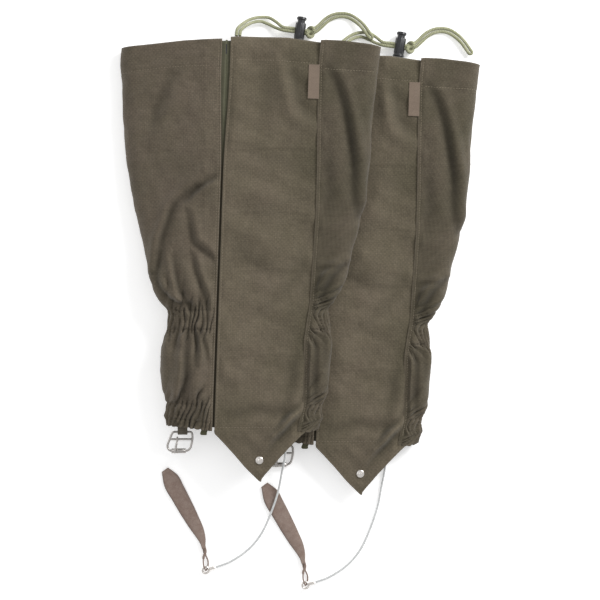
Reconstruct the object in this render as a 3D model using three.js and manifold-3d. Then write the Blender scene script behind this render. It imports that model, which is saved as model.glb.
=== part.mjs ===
// A pair of front-zip leg gaiters, laid flat one half over the other.
// Millimetres, +Z up, +X to the right, +Y towards the calf openings.
// Each gaiter is a flattened tube: a calf panel that wraps round the back, and a front
// panel that runs down into the instep point. Both are made by one function.

import * as THREE from "three";
import { mergeVertices } from "three/addons/utils/BufferGeometryUtils.js";
import Module from "manifold-3d";

const wasm = await Module();
wasm.setup();

// ---- driving dimensions ----
const THICKNESS = 18; // flattened leg tube, front face to back face
const WALL = 1.4; // softshell fabric
const LINING = 0.8; // facings, tapes and flat elastics
const GAP = 0.3; // clearance between pieces that touch
const LIFT = 19; // height at which the left gaiter crosses the right one
const PAIR_SHIFT = [52.25, -7.9]; // right gaiter from the pair's centre; the left is opposite
const RAMP_FOOT_X = -136; // where the left gaiter still lies on the ground
const RAMP_TOP_X = -46; // where it has climbed onto the right gaiter

const SIDE_TURN = THICKNESS / 2; // radius of the folded side edges
const TOP_Y = 225; // mean height of the calf opening
const FOOT_Y = -175; // mean height of the foot opening
const SQUARE_BELOW_TOP = 140; // below here the rows no longer follow the calf opening's edge
const SQUARE_ABOVE_FOOT = -120; // above here they no longer follow the foot opening's edge
const HINGE_Y = -176.2; // fold line of the instep point
const CORD_D = 3;
const CABLE_D = 2.3;
const WIRE = 2.4; // buckle wire

// Heights at which the fabric panels have a row of points
const ANKLE_ROWS = [-74, -57, -52];
const FOOT_ROWS = [-168, -150];
const HEM_ROWS = [203, 219];
const CORD_ROWS = [209, 212];
const PANEL_ROWS = [
  FOOT_Y, ...FOOT_ROWS, -122, -105, ...ANKLE_ROWS, -30, 7.5, 45, 82, 145, HEM_ROWS[0], ...CORD_ROWS,
  HEM_ROWS[1], TOP_Y,
];

// Half outlines of the flattened tube as [y, x], from the foot opening to the calf opening
const LEFT_EDGE = [
  [-175, -86], [-150, -86.3], [-122, -93], [-105, -93.6], [-74, -86.5], [-57, -84.5],
  [-30, -100.9], [7.5, -110.2], [82, -125.8], [145, -132.6], [207, -136.2], [225, -135.4],
];
const RIGHT_EDGE = [
  [-175, 72], [-155, 73.5], [-130, 80.6], [-85, 83], [-55, 81], [-14, 101.4],
  [36, 113.9], [86, 122.2], [136, 126.4], [186, 131.6], [219, 136.2], [225, 136.2],
];
const ZIP_LINE = [[-175, -37.1], [225, -23.4]];
const SEAM_LINE = [[-175, 50.6], [-148, 56.2], [-83, 57.6], [-46, 63.4], [42, 69.4], [90, 70.7], [225, 74]];
const TOP_EDGE = [[-136, 220.3], [-68, 225.2], [-12, 229], [41, 227], [75, 222.5], [137, 219]];
const FOOT_EDGE = [[-94, -171.6], [-38, -176], [50, -176], [75, -174]];

// Edges of the instep point as [x, y], from the zip side round the tip to the seam side
const POINT_OUTLINE = [
  [-36.4, -180], [-29, -187], [-16.6, -200.5], [-4.2, -215], [8.3, -227.5], [10.4, -229],
  [16.1, -222], [28.6, -207.5], [41.1, -194], [53.6, -181.5], [55, -178],
];
const RIVET = [10.2, -207.1];
const RIVET_HOLE = 1.8; // radius

// Cord and cable routes as [x, y, z, share], share being the part of the lift it still has
const UPPER_STRAND = [
  [-13.6, 229.8, 14.8, 1], [-12.6, 237, 13.4, 0.95], [-5, 246, 9, 0.62], [3, 251.5, 5, 0.3],
  [11.4, 254, 2.4, 0.08], [19.8, 253.6, 2.2, 0], [27, 249, 4, 0], [34, 243.3, 6.6, 0],
  [43, 242, 6.6, 0], [52, 240.6, 6.6, 0], [60, 239.4, 6.6, 0], [66.4, 241.7, 4.5, 0],
  [72.4, 246.5, 2.6, 0], [78.3, 252.5, 1.8, 0], [85.5, 256.7, 1.8, 0], [93.8, 258.4, 1.8, 0],
  [103.4, 257.3, 1.8, 0], [111.7, 252.5, 2.4, 0.06], [118.9, 245.6, 3.4, 0.12],
  [127, 234.5, 3.4, 0.12],
];
const LOWER_STRAND = [
  [-10.1, 229.8, 14.8, 1], [-9.2, 235.6, 13.4, 0.95], [-2.2, 243.4, 9, 0.62], [4.6, 247.8, 5, 0.3],
  [11.4, 249.4, 2.4, 0.08], [18.8, 247, 2.2, 0], [26.4, 243, 4, 0], [34, 240, 6.6, 0],
  [43, 238.7, 6.6, 0], [52, 237.3, 6.6, 0], [60, 236.1, 6.6, 0], [67.8, 238.2, 4.5, 0],
  [74.8, 243.9, 2.6, 0], [80.4, 249.3, 1.8, 0], [86.8, 253.1, 1.8, 0], [93.9, 254.9, 1.8, 0],
  [102, 253.9, 1.8, 0], [109.5, 249.6, 2.4, 0.06], [116.2, 243.2, 3.4, 0.12],
  [124, 232.6, 3.4, 0.12],
];
const CABLE_ROUTE = [
  [38, -180.3, 5.4, 1], [37.8, -190, 3.8, 1], [36.9, -200.5, 1.9, 0.94], [35.4, -211, 1.6, 0.66],
  [33.3, -221, 1.5, 0.42], [29, -243, 1.5, 0.2], [21.5, -265.5, 1.5, 0.14],
  [11, -288.3, 1.5, 0.05], [-2.5, -304.3, 1.5, 0], [-21.5, -317, 1.7, 0.02],
  [-36.2, -322.5, 2.4, 0.02],
];
const KNOT = [62.9, 237.8, 6.2];
const LOCK_FOOT = [50.2, 227.6];
const LOCK_TOP = [54.1, 253.6];
const LOCK_Z = 6.6;
const RING = [-46.9, -325.6, 3.3];

const BUCKLE_X = -70.2; // middle of the webbing loop that holds the buckle
const BUCKLE_Z = 3.1;
const BUCKLE_HINGE_Y = -179.6;
const MIDDLE_BAR_Y = -187.2;
const ROLLER_Y = -199.2;
const BAR_BORE = 1.9; // radius inside the pieces that turn on the buckle's bars
const CABLE_START = [38, -180, 5.4]; // lower end of the sleeve that holds the cable in the seam

// ---- materials ----
function material(color, roughness, metalness = 0) {
  return () => new THREE.MeshStandardMaterial({ color, roughness, metalness });
}
const calfFabric = material(0x5c5449, 0.9);
const frontFabric = material(0x635b4e, 0.9);
const liningFabric = material(0x4a463b, 0.9);
const elasticBand = material(0x3c382d, 0.95);
const oliveTape = material(0x565445, 0.9);
const darkCoil = material(0x2b2a25, 0.5);
const labelCloth = material(0x6f6256, 0.85);
const nickel = material(0xb4b0aa, 0.3, 1);
const blackPlastic = material(0x232325, 0.45);
const springSteel = material(0x9a9a9a, 0.35, 1);
const oliveCord = material(0x939579, 0.85);
const clearCable = material(0xdbdbdb, 0.25);
const suede = material(0x86766e, 0.95);

// ---- small helpers ----
function along(table, value) {
  const last = table.length - 1;
  if (value <= table[0][0]) return table[0][1];
  if (value >= table[last][0]) return table[last][1];
  const i = table.findIndex(([at]) => at > value);
  const [a, b] = [table[i - 1], table[i]];
  return THREE.MathUtils.mapLinear(value, a[0], b[0], a[1], b[1]);
}

function ease(from, to, value) {
  return THREE.MathUtils.smoothstep(value, from, to);
}

function range(count, from, to) {
  return Array.from({ length: count + 1 }, (_, i) => from + ((to - from) * i) / count);
}

// The calf and foot openings aren't straight, so rows near them bend to meet the edge.
function rowY(s, x) {
  const top = (along(TOP_EDGE, x) - TOP_Y) * ease(SQUARE_BELOW_TOP, TOP_Y, s);
  const foot = (along(FOOT_EDGE, x) - FOOT_Y) * (1 - ease(FOOT_Y, SQUARE_ABOVE_FOOT, s));
  return s + top + foot;
}

function plainGeometry(geometry) {
  const bare = geometry.clone();
  bare.deleteAttribute("normal");
  bare.deleteAttribute("uv");
  return mergeVertices(bare, 1e-4);
}

function toSolid(geometry) {
  const bare = plainGeometry(geometry);
  const vertProperties = Float32Array.from(bare.attributes.position.array);
  const triVerts = Uint32Array.from(bare.index.array);
  return new wasm.Manifold(new wasm.Mesh({ numProp: 3, vertProperties, triVerts }));
}

function fromSolid(solid) {
  const { numProp, vertProperties, triVerts } = solid.getMesh();
  const buffer = new THREE.InterleavedBuffer(vertProperties, numProp);
  const position = new THREE.BufferAttribute(new Float32Array((vertProperties.length / numProp) * 3), 3);
  const source = new THREE.InterleavedBufferAttribute(buffer, 3, 0);
  for (let i = 0; i < position.count; i++) {
    position.setXYZ(i, source.getX(i), source.getY(i), source.getZ(i));
  }
  const geometry = new THREE.BufferGeometry().setAttribute("position", position);
  geometry.setIndex(new THREE.BufferAttribute(triVerts, 1));
  return geometry;
}

function join(...geometries) {
  return fromSolid(geometries.map(toSolid).reduce((a, b) => a.add(b)));
}

function cut(geometry, ...tools) {
  return fromSolid(tools.map(toSolid).reduce((a, b) => a.subtract(b), toSolid(geometry)));
}

function volume(positions, faces) {
  const [a, b, c] = [new THREE.Vector3(), new THREE.Vector3(), new THREE.Vector3()];
  return faces.reduce((sum, [i, j, k]) => {
    a.fromArray(positions, 3 * i);
    b.fromArray(positions, 3 * j);
    c.fromArray(positions, 3 * k);
    return sum + a.dot(b.cross(c));
  }, 0);
}

// A closed skin from rows of points: each row has as many points on its outer face as on its inner.
function sheet(rows) {
  const width = rows[0].outer.length;
  const ring = 2 * width;
  const positions = [];
  for (const { outer, inner } of rows) {
    for (const p of [...outer, ...inner.toReversed()]) positions.push(...p);
  }
  const faces = [];
  const quad = (a, b, c, d) => faces.push([a, b, c], [a, c, d]);
  for (let r = 0; r + 1 < rows.length; r++) {
    for (let i = 0; i < ring; i++) {
      const j = (i + 1) % ring;
      quad(r * ring + i, r * ring + j, (r + 1) * ring + j, (r + 1) * ring + i);
    }
  }
  const last = (rows.length - 1) * ring;
  for (let i = 0; i + 1 < width; i++) {
    const across = ring - 1 - i;
    quad(i, across, across - 1, i + 1);
    quad(last + i, last + i + 1, last + across - 1, last + across);
  }
  const outward = volume(positions, faces) > 0 ? faces : faces.map(([a, b, c]) => [a, c, b]);
  const geometry = new THREE.BufferGeometry();
  geometry.setAttribute("position", new THREE.BufferAttribute(new Float32Array(positions), 3));
  geometry.setIndex(outward.flat());
  return geometry;
}

function circleShape(radius, sides) {
  const points = range(sides, 0, 2 * Math.PI).slice(0, sides);
  return new THREE.Shape(points.map((a) => new THREE.Vector2(radius * Math.cos(a), radius * Math.sin(a))));
}

function tube(points, diameter, steps, sides = 8) {
  const path = new THREE.CatmullRomCurve3(points.map((p) => new THREE.Vector3(...p)), false, "centripetal");
  return new THREE.ExtrudeGeometry(circleShape(diameter / 2, sides), { steps, extrudePath: path });
}

// A turned piece: profile points are [radius, distance along the axis]
function turned(profile, sides, start, direction) {
  const lathe = new THREE.LatheGeometry(profile.map(([r, t]) => new THREE.Vector2(r, t)), sides);
  const up = new THREE.Vector3(0, 1, 0);
  lathe.applyQuaternion(new THREE.Quaternion().setFromUnitVectors(up, direction.clone().normalize()));
  return lathe.translate(...start);
}

const X_AXIS = new THREE.Vector3(1, 0, 0);
const Z_AXIS = new THREE.Vector3(0, 0, 1);

function sleeve(inner, outer, length, centre, axis, sides = 12) {
  const h = length / 2;
  const profile = [[inner, -h], [outer, -h], [outer, h], [inner, h], [inner, -h]];
  return turned(profile, sides, centre, axis);
}

function rod(radius, length, start, axis, sides = 12) {
  return turned([[0, 0], [radius, 0], [radius, length], [0, length]], sides, start, axis);
}

function plate(points, thickness, z) {
  const shape = new THREE.Shape(points.map(([x, y]) => new THREE.Vector2(x, y)));
  return new THREE.ExtrudeGeometry(shape, { depth: thickness, bevelEnabled: false }).translate(0, 0, z);
}

// ---- fabric of the leg tube ----
const zipX = (s) => along(ZIP_LINE, s);
const openHalf = (s) => 1.2 + 3.8 * ease(60, 190, s); // the panels part above the shin
const calfEdgeX = (s) => zipX(s) - openHalf(s) - 0.4;
const frontEdgeX = (s) => zipX(s) + openHalf(s);

// Points of the wrapped panel at depth `inset` inside the outer skin, from the zip round the back
function wrapPoints(s, inset, startX, endX) {
  const left = along(LEFT_EDGE, s) + SIDE_TURN;
  const right = along(RIGHT_EDGE, s) - SIDE_TURN;
  const radius = SIDE_TURN - inset;
  const high = THICKNESS - inset;
  const turn = (x, from, to) =>
    range(4, from, to).map((a) => [x + radius * Math.cos(a), SIDE_TURN + radius * Math.sin(a)]);
  const section = [
    [startX, high],
    ...range(3, RAMP_TOP_X, left).slice(0, 3).map((x) => [x, high]),
    ...turn(left, Math.PI / 2, 1.5 * Math.PI),
    ...range(3, left, RAMP_TOP_X).slice(1).map((x) => [x, inset]),
    ...range(3, RAMP_TOP_X, right).slice(1, 3).map((x) => [x, inset]),
    ...turn(right, -Math.PI / 2, Math.PI / 2),
    ...range(2, right, endX).slice(1).map((x) => [x, high]),
  ];
  return section.map(([x, z]) => [x, rowY(s, x), z]);
}

function wrap(rows, outerInset, innerInset, startX, endX) {
  return sheet(
    rows.map((s) => ({
      outer: wrapPoints(s, outerInset, startX(s), endX(s)),
      inner: wrapPoints(s, innerInset, startX(s), endX(s)),
    })),
  );
}

function flatStrip(rows, columns, highZ, lowZ, startX, endX) {
  const row = (s, z) => range(columns, startX(s), endX(s)).map((x) => [x, rowY(s, x), z]);
  return sheet(rows.map((s) => ({ outer: row(s, highZ), inner: row(s, lowZ) })));
}

function calfPanel() {
  return wrap(PANEL_ROWS, 0, WALL, calfEdgeX, (s) => along(SEAM_LINE, s) + GAP);
}

function frontPanel() {
  const seam = (s) => along(SEAM_LINE, s);
  return flatStrip(PANEL_ROWS, 4, THICKNESS, THICKNESS - WALL, frontEdgeX, seam);
}

function rivetHole() {
  return rod(RIVET_HOLE, 2 * THICKNESS, [...RIVET, 0], Z_AXIS);
}

function instepPoint() {
  const outline = [...POINT_OUTLINE, [52, HINGE_Y - GAP], [-35.6, HINGE_Y - GAP]];
  return cut(plate(outline, WALL, THICKNESS - WALL), rivetHole());
}

function pointFacing() {
  const outline = [
    [-27, -182.5], [-14, -196.5], [-3.4, -209], [7, -220.4], [10.4, -222.6],
    [14, -219], [27, -204], [39, -191.5], [46, -184], [46, HINGE_Y - 2], [-27, HINGE_Y - 2],
  ];
  return cut(plate(outline, LINING, THICKNESS - WALL - GAP - LINING), rivetHole());
}

const CORD_DEPTH = WALL + 2 * GAP; // depth of the drawcord inside the hem
const CORD_EXIT = 8; // it runs this far on, to where it leaves the hem
const FACING_DEPTH = CORD_DEPTH + CORD_D + GAP;
const HEM_REACH = 9; // how far the hem's channel reaches past the middle of the zip
const hemStartX = (s) => zipX(s) - HEM_REACH - 2 * GAP;
const hemEndX = (s) => zipX(s) + HEM_REACH;

function hemFacing() {
  return wrap(HEM_ROWS, FACING_DEPTH, FACING_DEPTH + LINING, hemStartX, hemEndX);
}

function drawcordInHem() {
  return wrap(CORD_ROWS, CORD_DEPTH, CORD_DEPTH + CORD_D, hemStartX, (s) => hemEndX(s) + CORD_EXIT);
}

const ZIP_CATCH = 8.6; // the elastics are caught beside the zip
const SEAM_CATCH = 4; // and just behind the seam

function elastic(rows) {
  const outer = WALL + GAP;
  const end = (s) => along(SEAM_LINE, s) + SEAM_CATCH;
  return wrap(rows, outer, outer + LINING, (s) => zipX(s) - ZIP_CATCH, end);
}

const LABEL_CLOTH = 0.7;

function label() {
  const outline = [[60.3, 164.6], [71.4, 164.6], [72.1, 199.5], [61, 199.5]];
  return plate(outline, LABEL_CLOTH, THICKNESS + GAP);
}

// ---- zip ----
const TAPE_TOP = THICKNESS - WALL - GAP;
const TAPE_WIDTH = 8;
const COIL_HALF = 1.9;
const COIL_DEPTH = 2.2;
const COIL_END_Y = 206;

function zipTape(side) {
  const inner = (s) => zipX(s) + side * (COIL_HALF + GAP);
  const outer = (s) => zipX(s) + side * TAPE_WIDTH;
  const [start, end] = side < 0 ? [outer, inner] : [inner, outer];
  return flatStrip(range(6, FOOT_Y + 2, TOP_Y - 2), 1, TAPE_TOP, TAPE_TOP - LINING, start, end);
}

function zipCoil() {
  const edge = (side) => (s) => zipX(s) + side * COIL_HALF;
  return flatStrip(range(6, FOOT_Y + 4, COIL_END_Y), 1, TAPE_TOP, TAPE_TOP - COIL_DEPTH, edge(-1), edge(1));
}

function zipTopBox() {
  const [low, high] = [211, 221];
  const x = zipX((low + high) / 2);
  const [left, right] = [x - COIL_HALF, x + COIL_HALF];
  return plate([[left, low], [right, low], [right, high], [left, high]], 2.8, TAPE_TOP - 2.8);
}

const SLIDER_TOP = TAPE_TOP - COIL_DEPTH - GAP;
const SLIDER_PLATE = 1.9;
const PULL_CLOTH = 1;
const SLIDER_Y = -163;

function zipSlider() {
  const x = zipX(SLIDER_Y);
  const body = [[-2.2, -6], [2.2, -6], [3.8, -3], [4.3, 4], [3, 6], [-3, 6], [-4.3, 4], [-3.8, -3]];
  const wedge = plate(body.map(([u, v]) => [x + u, SLIDER_Y + v]), SLIDER_PLATE, SLIDER_TOP - SLIDER_PLATE);
  const bail = tube(
    [[x, SLIDER_Y + 4, SLIDER_TOP - 1.2], [x, SLIDER_Y + 3.4, SLIDER_TOP - 3.4],
      [x, SLIDER_Y, SLIDER_TOP - 4.6], [x, SLIDER_Y - 3.4, SLIDER_TOP - 3.4],
      [x, SLIDER_Y - 4, SLIDER_TOP - 1.2]],
    1.2, 10, 6,
  );
  return join(wedge, bail);
}

function zipPull() {
  const tab = [
    [-34.9, -159.6], [-39.2, -157.2], [-50.9, -178.6], [-50.2, -181.4], [-45.2, -181.6], [-44.2, -179.8],
  ];
  const low = SLIDER_TOP - 3.6;
  const hole = plate([[-39.6, -169], [-34.6, -169], [-34.6, -157.6], [-39.6, -157.6]], 6, low - 3);
  const loop = plate([[-41.4, -171], [-33, -171], [-33, -155.8], [-41.4, -155.8]], PULL_CLOTH, low);
  return join(cut(plate(tab, PULL_CLOTH, low), hole), cut(loop, hole));
}

// ---- lace hook and buckle ----
function laceHook() {
  const top = THICKNESS - WALL - 2 * GAP - LINING;
  const profile = [
    [-7, top], [6, top], [7, top - 1], [7, top - 4.6], [6, top - 5.6], [-1, top - 5.6],
    [-1.6, top - 4.8], [5.4, top - 4.5], [5.8, top - 4.1], [5.8, top - 1.6], [5.4, top - 1.2],
    [-7, top - 1.2],
  ];
  const shape = new THREE.Shape(profile.map(([v, z]) => new THREE.Vector2(v, z)));
  const width = 7;
  const hook = new THREE.ExtrudeGeometry(shape, { depth: width, bevelEnabled: false });
  hook.applyMatrix4(new THREE.Matrix4().makeBasis(new THREE.Vector3(0, 1, 0), Z_AXIS, X_AXIS));
  hook.translate(RIVET[0] - width / 2, RIVET[1], 0);
  return cut(hook, rod(RIVET_HOLE, 4, [...RIVET, top - 2.5], Z_AXIS));
}

function hookRivet() {
  const low = THICKNESS - WALL - 3 * GAP - LINING - 1.2;
  const head = THICKNESS + GAP;
  const profile = [
    [0, low - 1], [2.6, low - 1], [2.6, low], [1.5, low], [1.5, head], [4.25, head],
    [4.1, head + 0.7], [3, head + 1.4], [1.6, head + 1.7], [0, head + 1.8],
  ];
  return turned(profile, 14, [...RIVET, 0], Z_AXIS);
}

function buckleLoop() {
  const width = 13;
  const webbing = 1.8;
  const ring = sleeve(BAR_BORE, 3, width, [BUCKLE_X, BUCKLE_HINGE_Y, BUCKLE_Z], X_AXIS);
  const [left, right] = [BUCKLE_X - width / 2, BUCKLE_X + width / 2];
  const [low, high] = [BUCKLE_HINGE_Y + 2.3, -164];
  const tail = plate([[left, low], [right, low], [right, high], [left, high]], webbing, BUCKLE_Z + 1.2);
  return join(ring, tail);
}

function buckleFrame() {
  const outer = [
    [-81.6, -178.4], [-85.6, -190], [-87.4, -194.4], [-84.6, -200.4], [-64.2, -200.4],
    [-60.8, -197], [-58.6, -186.7], [-59, -178.4],
  ];
  const upper = [[-79.3, -180.8], [-81.4, -186], [-61.3, -186], [-61.6, -180.8]];
  const lower = [
    [-81.9, -188.4], [-84.6, -194.4], [-83, -198], [-65.2, -198], [-63.1, -195.8], [-61.4, -188.4],
  ];
  const toPath = (points) => new THREE.Path(points.map(([x, y]) => new THREE.Vector2(x, y)));
  const shape = new THREE.Shape(outer.map(([x, y]) => new THREE.Vector2(x, y)));
  shape.holes = [toPath(upper), toPath(lower)];
  const options = { depth: WIRE, bevelEnabled: false };
  return new THREE.ExtrudeGeometry(shape, options).translate(0, 0, BUCKLE_Z - WIRE / 2);
}

function buckleRoller() {
  return sleeve(BAR_BORE, 2.8, 15, [-74.2, ROLLER_Y, BUCKLE_Z], X_AXIS);
}

function buckleProng() {
  const pivot = new THREE.Vector3(-75.6, MIDDLE_BAR_Y, BUCKLE_Z);
  const tip = new THREE.Vector3(-78, -202, BUCKLE_Z + 4.6);
  const heel = pivot.clone().add(new THREE.Vector3(0, -1, 2.4));
  const eye = sleeve(BAR_BORE, 2.8, 3, pivot.toArray(), X_AXIS);
  const length = tip.distanceTo(heel);
  const pin = turned([[0, 0], [1.1, 0], [1, length - 3], [0.5, length], [0, length]], 8, heel, tip.sub(heel));
  return join(eye, cut(pin, rod(BAR_BORE, 5, [-78, MIDDLE_BAR_Y, BUCKLE_Z], X_AXIS)));
}

// ---- drawcord and lock ----
function drawcord(lift) {
  const raise = ([x, y, z, share]) => [x, y, z + share * lift];
  const knot = new THREE.SphereGeometry(1, 10, 6).scale(3.6, 5.6, 4).translate(...KNOT);
  return join(tube(UPPER_STRAND.map(raise), CORD_D, 24), tube(LOWER_STRAND.map(raise), CORD_D, 23), knot);
}

const lockFoot = new THREE.Vector3(...LOCK_FOOT, LOCK_Z);
const lockAxis = new THREE.Vector3(...LOCK_TOP, LOCK_Z).sub(lockFoot);
const LOCK_LENGTH = lockAxis.length();
lockAxis.normalize();
const CORD_AT = 11.4; // distance of the cords from the foot of the lock
const BARREL_LENGTH = 20;
const PRESS = 3; // travel of the button
const SLOT_HALF = 3.8;

function lockPiece(profile, sides) {
  return turned(profile, sides, lockFoot, lockAxis);
}

// The slot that the two strands pass through, square to the lock's axis
function cordSlot(from, to) {
  const across = new THREE.Vector3().crossVectors(lockAxis, Z_AXIS);
  const slot = new THREE.BoxGeometry(20, to - from, 4);
  slot.applyMatrix4(new THREE.Matrix4().makeBasis(across, lockAxis, Z_AXIS));
  return slot.translate(...lockFoot.clone().addScaledVector(lockAxis, (from + to) / 2));
}

function lockBarrel() {
  const outside = [
    [0, 0], [6, 0], [6.2, 1], [5.4, 2.4], [5.3, 8], [5.5, 14], [5.3, BARREL_LENGTH], [4.1, BARREL_LENGTH],
    [4.1, 1.6], [0, 1.6],
  ];
  return cut(lockPiece(outside, 14), cordSlot(CORD_AT - SLOT_HALF, CORD_AT + SLOT_HALF));
}

function lockPlunger() {
  const button = BARREL_LENGTH + PRESS + GAP;
  const outside = [
    [0, 6.4], [3.7, 6.4], [3.7, button], [5, button], [5.1, LOCK_LENGTH - 0.8], [4.4, LOCK_LENGTH],
    [0, LOCK_LENGTH],
  ];
  return cut(lockPiece(outside, 14), cordSlot(CORD_AT - SLOT_HALF, CORD_AT + SLOT_HALF + PRESS));
}

function lockSpring() {
  const turns = 1.6;
  const points = range(13, 0, turns * 2 * Math.PI).map((a) => {
    const climb = 2 + (0.62 * a) / (2 * Math.PI);
    return [2.7 * Math.cos(a), climb, 2.7 * Math.sin(a)];
  });
  const coil = tube(points, 0.5, 20, 5);
  coil.applyQuaternion(new THREE.Quaternion().setFromUnitVectors(new THREE.Vector3(0, 1, 0), lockAxis));
  return coil.translate(...lockFoot);
}

// ---- instep cable and strap ----
function cableAnchor() {
  const profile = [[0, 0], [1.9, 0], [2.5, 1], [2.5, 9.5], [1.9, 11], [0, 11]];
  return turned(profile, 10, CABLE_START, new THREE.Vector3(0, 1, 0));
}

function cable(lift) {
  return tube(CABLE_ROUTE.map(([x, y, z, share]) => [x, y, z + share * lift]), CABLE_D, 23);
}

function cableFitting() {
  const [x, y, z] = RING;
  const tubeRadius = 1.1;
  const middle = 3.4;
  const wire = range(8, 0, 2 * Math.PI).map((a) => [
    middle + tubeRadius * Math.cos(a),
    tubeRadius * Math.sin(a),
  ]);
  wire[8] = [...wire[0]];
  const ring = turned(wire, 14, [x, y, z], Z_AXIS);
  const way = new THREE.Vector3(0.96, 0.28, 0);
  const ferrule = rod(1.7, 6.4, [x + 3.6 * way.x, y + 3.6 * way.y, z], way, 10);
  return join(ring, ferrule);
}

function leatherStrap() {
  const outline = [
    [-93.2, -222.9], [-90.5, -219], [-86.7, -218.2], [-80.5, -222.6], [-74.2, -228.4], [-66, -245],
    [-57.9, -261.8], [-51.5, -276], [-47.8, -287], [-46.9, -295.3], [-47.2, -305], [-50.6, -305],
    [-52.4, -299], [-58, -290.5], [-72.8, -268.4], [-90, -238.7],
  ];
  const blade = plate(outline, 2.2, GAP);
  const thong = tube(
    [[-48.6, -302, 1.6], [-47.2, -306.5, 2], [-48.9, -311, 2.6], [-49.4, -316, 3.8], [-48.9, -320.4, 5.6],
      [-47.8, -323.4, 5.8], [-46.9, -325.6, 4.2], [-46.4, -325.8, 2.6], [-45.4, -324.2, 1.2],
      [-44.6, -321, 1], [-44.7, -316, 1], [-47, -310.5, 1.1], [-48.8, -306, 1.3], [-48.4, -301.5, 1.4]],
    1.7, 30, 6,
  );
  return join(blade, thong);
}

// ---- one gaiter ----
function rampHeight(x) {
  return THREE.MathUtils.clamp((x - RAMP_FOOT_X) / (RAMP_TOP_X - RAMP_FOOT_X), 0, 1);
}

function drape(geometry, lift) {
  const position = geometry.attributes.position;
  for (let i = 0; i < position.count; i++) {
    position.setZ(i, position.getZ(i) + lift * rampHeight(position.getX(i)));
  }
  return geometry;
}

function gaiter(side, lift) {
  const group = new THREE.Group();
  const add = (name, geometry, finish) => {
    const mesh = new THREE.Mesh(geometry, finish());
    mesh.name = `${side}_${name}`;
    group.add(mesh);
  };
  const soft = (name, geometry, finish) => add(name, drape(geometry, lift), finish);
  const firm = (name, geometry, finish, atX) =>
    add(name, geometry.translate(0, 0, lift * rampHeight(atX)), finish);

  soft("calf_panel", calfPanel(), calfFabric);
  soft("front_panel", frontPanel(), frontFabric);
  soft("instep_point", instepPoint(), frontFabric);
  soft("point_facing", pointFacing(), liningFabric);
  soft("hem_facing", hemFacing(), liningFabric);
  soft("drawcord_in_hem", drawcordInHem(), oliveCord);
  soft("ankle_elastic", elastic(ANKLE_ROWS), elasticBand);
  soft("foot_elastic", elastic(FOOT_ROWS), elasticBand);
  soft("label", label(), labelCloth);
  soft("zip_tape_calf", zipTape(-1), oliveTape);
  soft("zip_tape_front", zipTape(1), oliveTape);
  soft("zip_coil", zipCoil(), darkCoil);
  firm("zip_top_box", zipTopBox(), darkCoil, 0);
  firm("zip_slider", zipSlider(), nickel, 0);
  firm("zip_pull", zipPull(), oliveTape, 0);
  firm("lace_hook", laceHook(), nickel, 0);
  firm("hook_rivet", hookRivet(), nickel, 0);
  firm("buckle_loop", buckleLoop(), elasticBand, BUCKLE_X);
  firm("buckle_frame", buckleFrame(), nickel, BUCKLE_X);
  firm("buckle_roller", buckleRoller(), nickel, BUCKLE_X);
  firm("buckle_prong", buckleProng(), nickel, BUCKLE_X);
  add("drawcord", drawcord(lift), oliveCord);
  add("lock_barrel", lockBarrel(), blackPlastic);
  add("lock_plunger", lockPlunger(), blackPlastic);
  add("lock_spring", lockSpring(), springSteel);
  firm("cable_anchor", cableAnchor(), nickel, CABLE_START[0]);
  add("cable", cable(lift), clearCable);
  add("cable_fitting", cableFitting(), nickel);
  add("leather_strap", leatherStrap(), suede);
  return group;
}

const pair = new THREE.Group();
const left = gaiter("left", LIFT);
left.position.set(-PAIR_SHIFT[0], -PAIR_SHIFT[1], 0);
const right = gaiter("right", 0);
right.position.set(PAIR_SHIFT[0], PAIR_SHIFT[1], 0);
pair.add(left, right);

export default pair;
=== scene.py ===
"""A pair of leg gaiters lying flat, the left one half over the right one. Metres, +Z up."""
import math

import bmesh
import bpy
import numpy as np
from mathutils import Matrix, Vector
from mathutils.bvhtree import BVHTree


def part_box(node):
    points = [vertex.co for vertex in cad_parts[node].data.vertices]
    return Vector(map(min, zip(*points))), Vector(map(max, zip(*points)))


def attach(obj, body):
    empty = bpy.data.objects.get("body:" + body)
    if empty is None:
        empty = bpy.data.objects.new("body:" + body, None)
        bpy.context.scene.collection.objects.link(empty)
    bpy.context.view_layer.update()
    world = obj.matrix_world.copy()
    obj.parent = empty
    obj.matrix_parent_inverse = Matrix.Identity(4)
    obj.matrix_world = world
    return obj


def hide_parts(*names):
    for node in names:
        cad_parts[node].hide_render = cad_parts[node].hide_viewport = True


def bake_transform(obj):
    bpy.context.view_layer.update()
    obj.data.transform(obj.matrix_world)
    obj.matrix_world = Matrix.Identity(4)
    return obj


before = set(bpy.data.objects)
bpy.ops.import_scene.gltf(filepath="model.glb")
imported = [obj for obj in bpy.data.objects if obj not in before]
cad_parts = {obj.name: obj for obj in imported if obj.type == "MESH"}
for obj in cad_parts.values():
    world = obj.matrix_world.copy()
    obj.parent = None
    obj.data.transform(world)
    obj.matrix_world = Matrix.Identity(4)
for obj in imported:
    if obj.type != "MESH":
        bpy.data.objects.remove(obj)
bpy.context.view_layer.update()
MM = 0.001
SIDES = ("left", "right")
PAIR_SHIFT = {"left": (-52.25, 7.9), "right": (52.25, -7.9)}
LIFT = {"left": 19.0, "right": 0.0}
RAMP = (-136.0, -46.0)  # where the left gaiter climbs onto the right one
THICKNESS = 18.0
TOP_Y, FOOT_Y, HINGE_Y = 225.0, -175.0, -176.2
TOP_EASE, FOOT_EASE = 150.0, -130.0  # where rows start to lean to the sloping edges


# ---------------------------------------------------------------- camera
def put_in_scene(name, data):
    obj = bpy.data.objects.new(name, data)
    bpy.context.scene.collection.objects.link(obj)
    return obj


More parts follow.
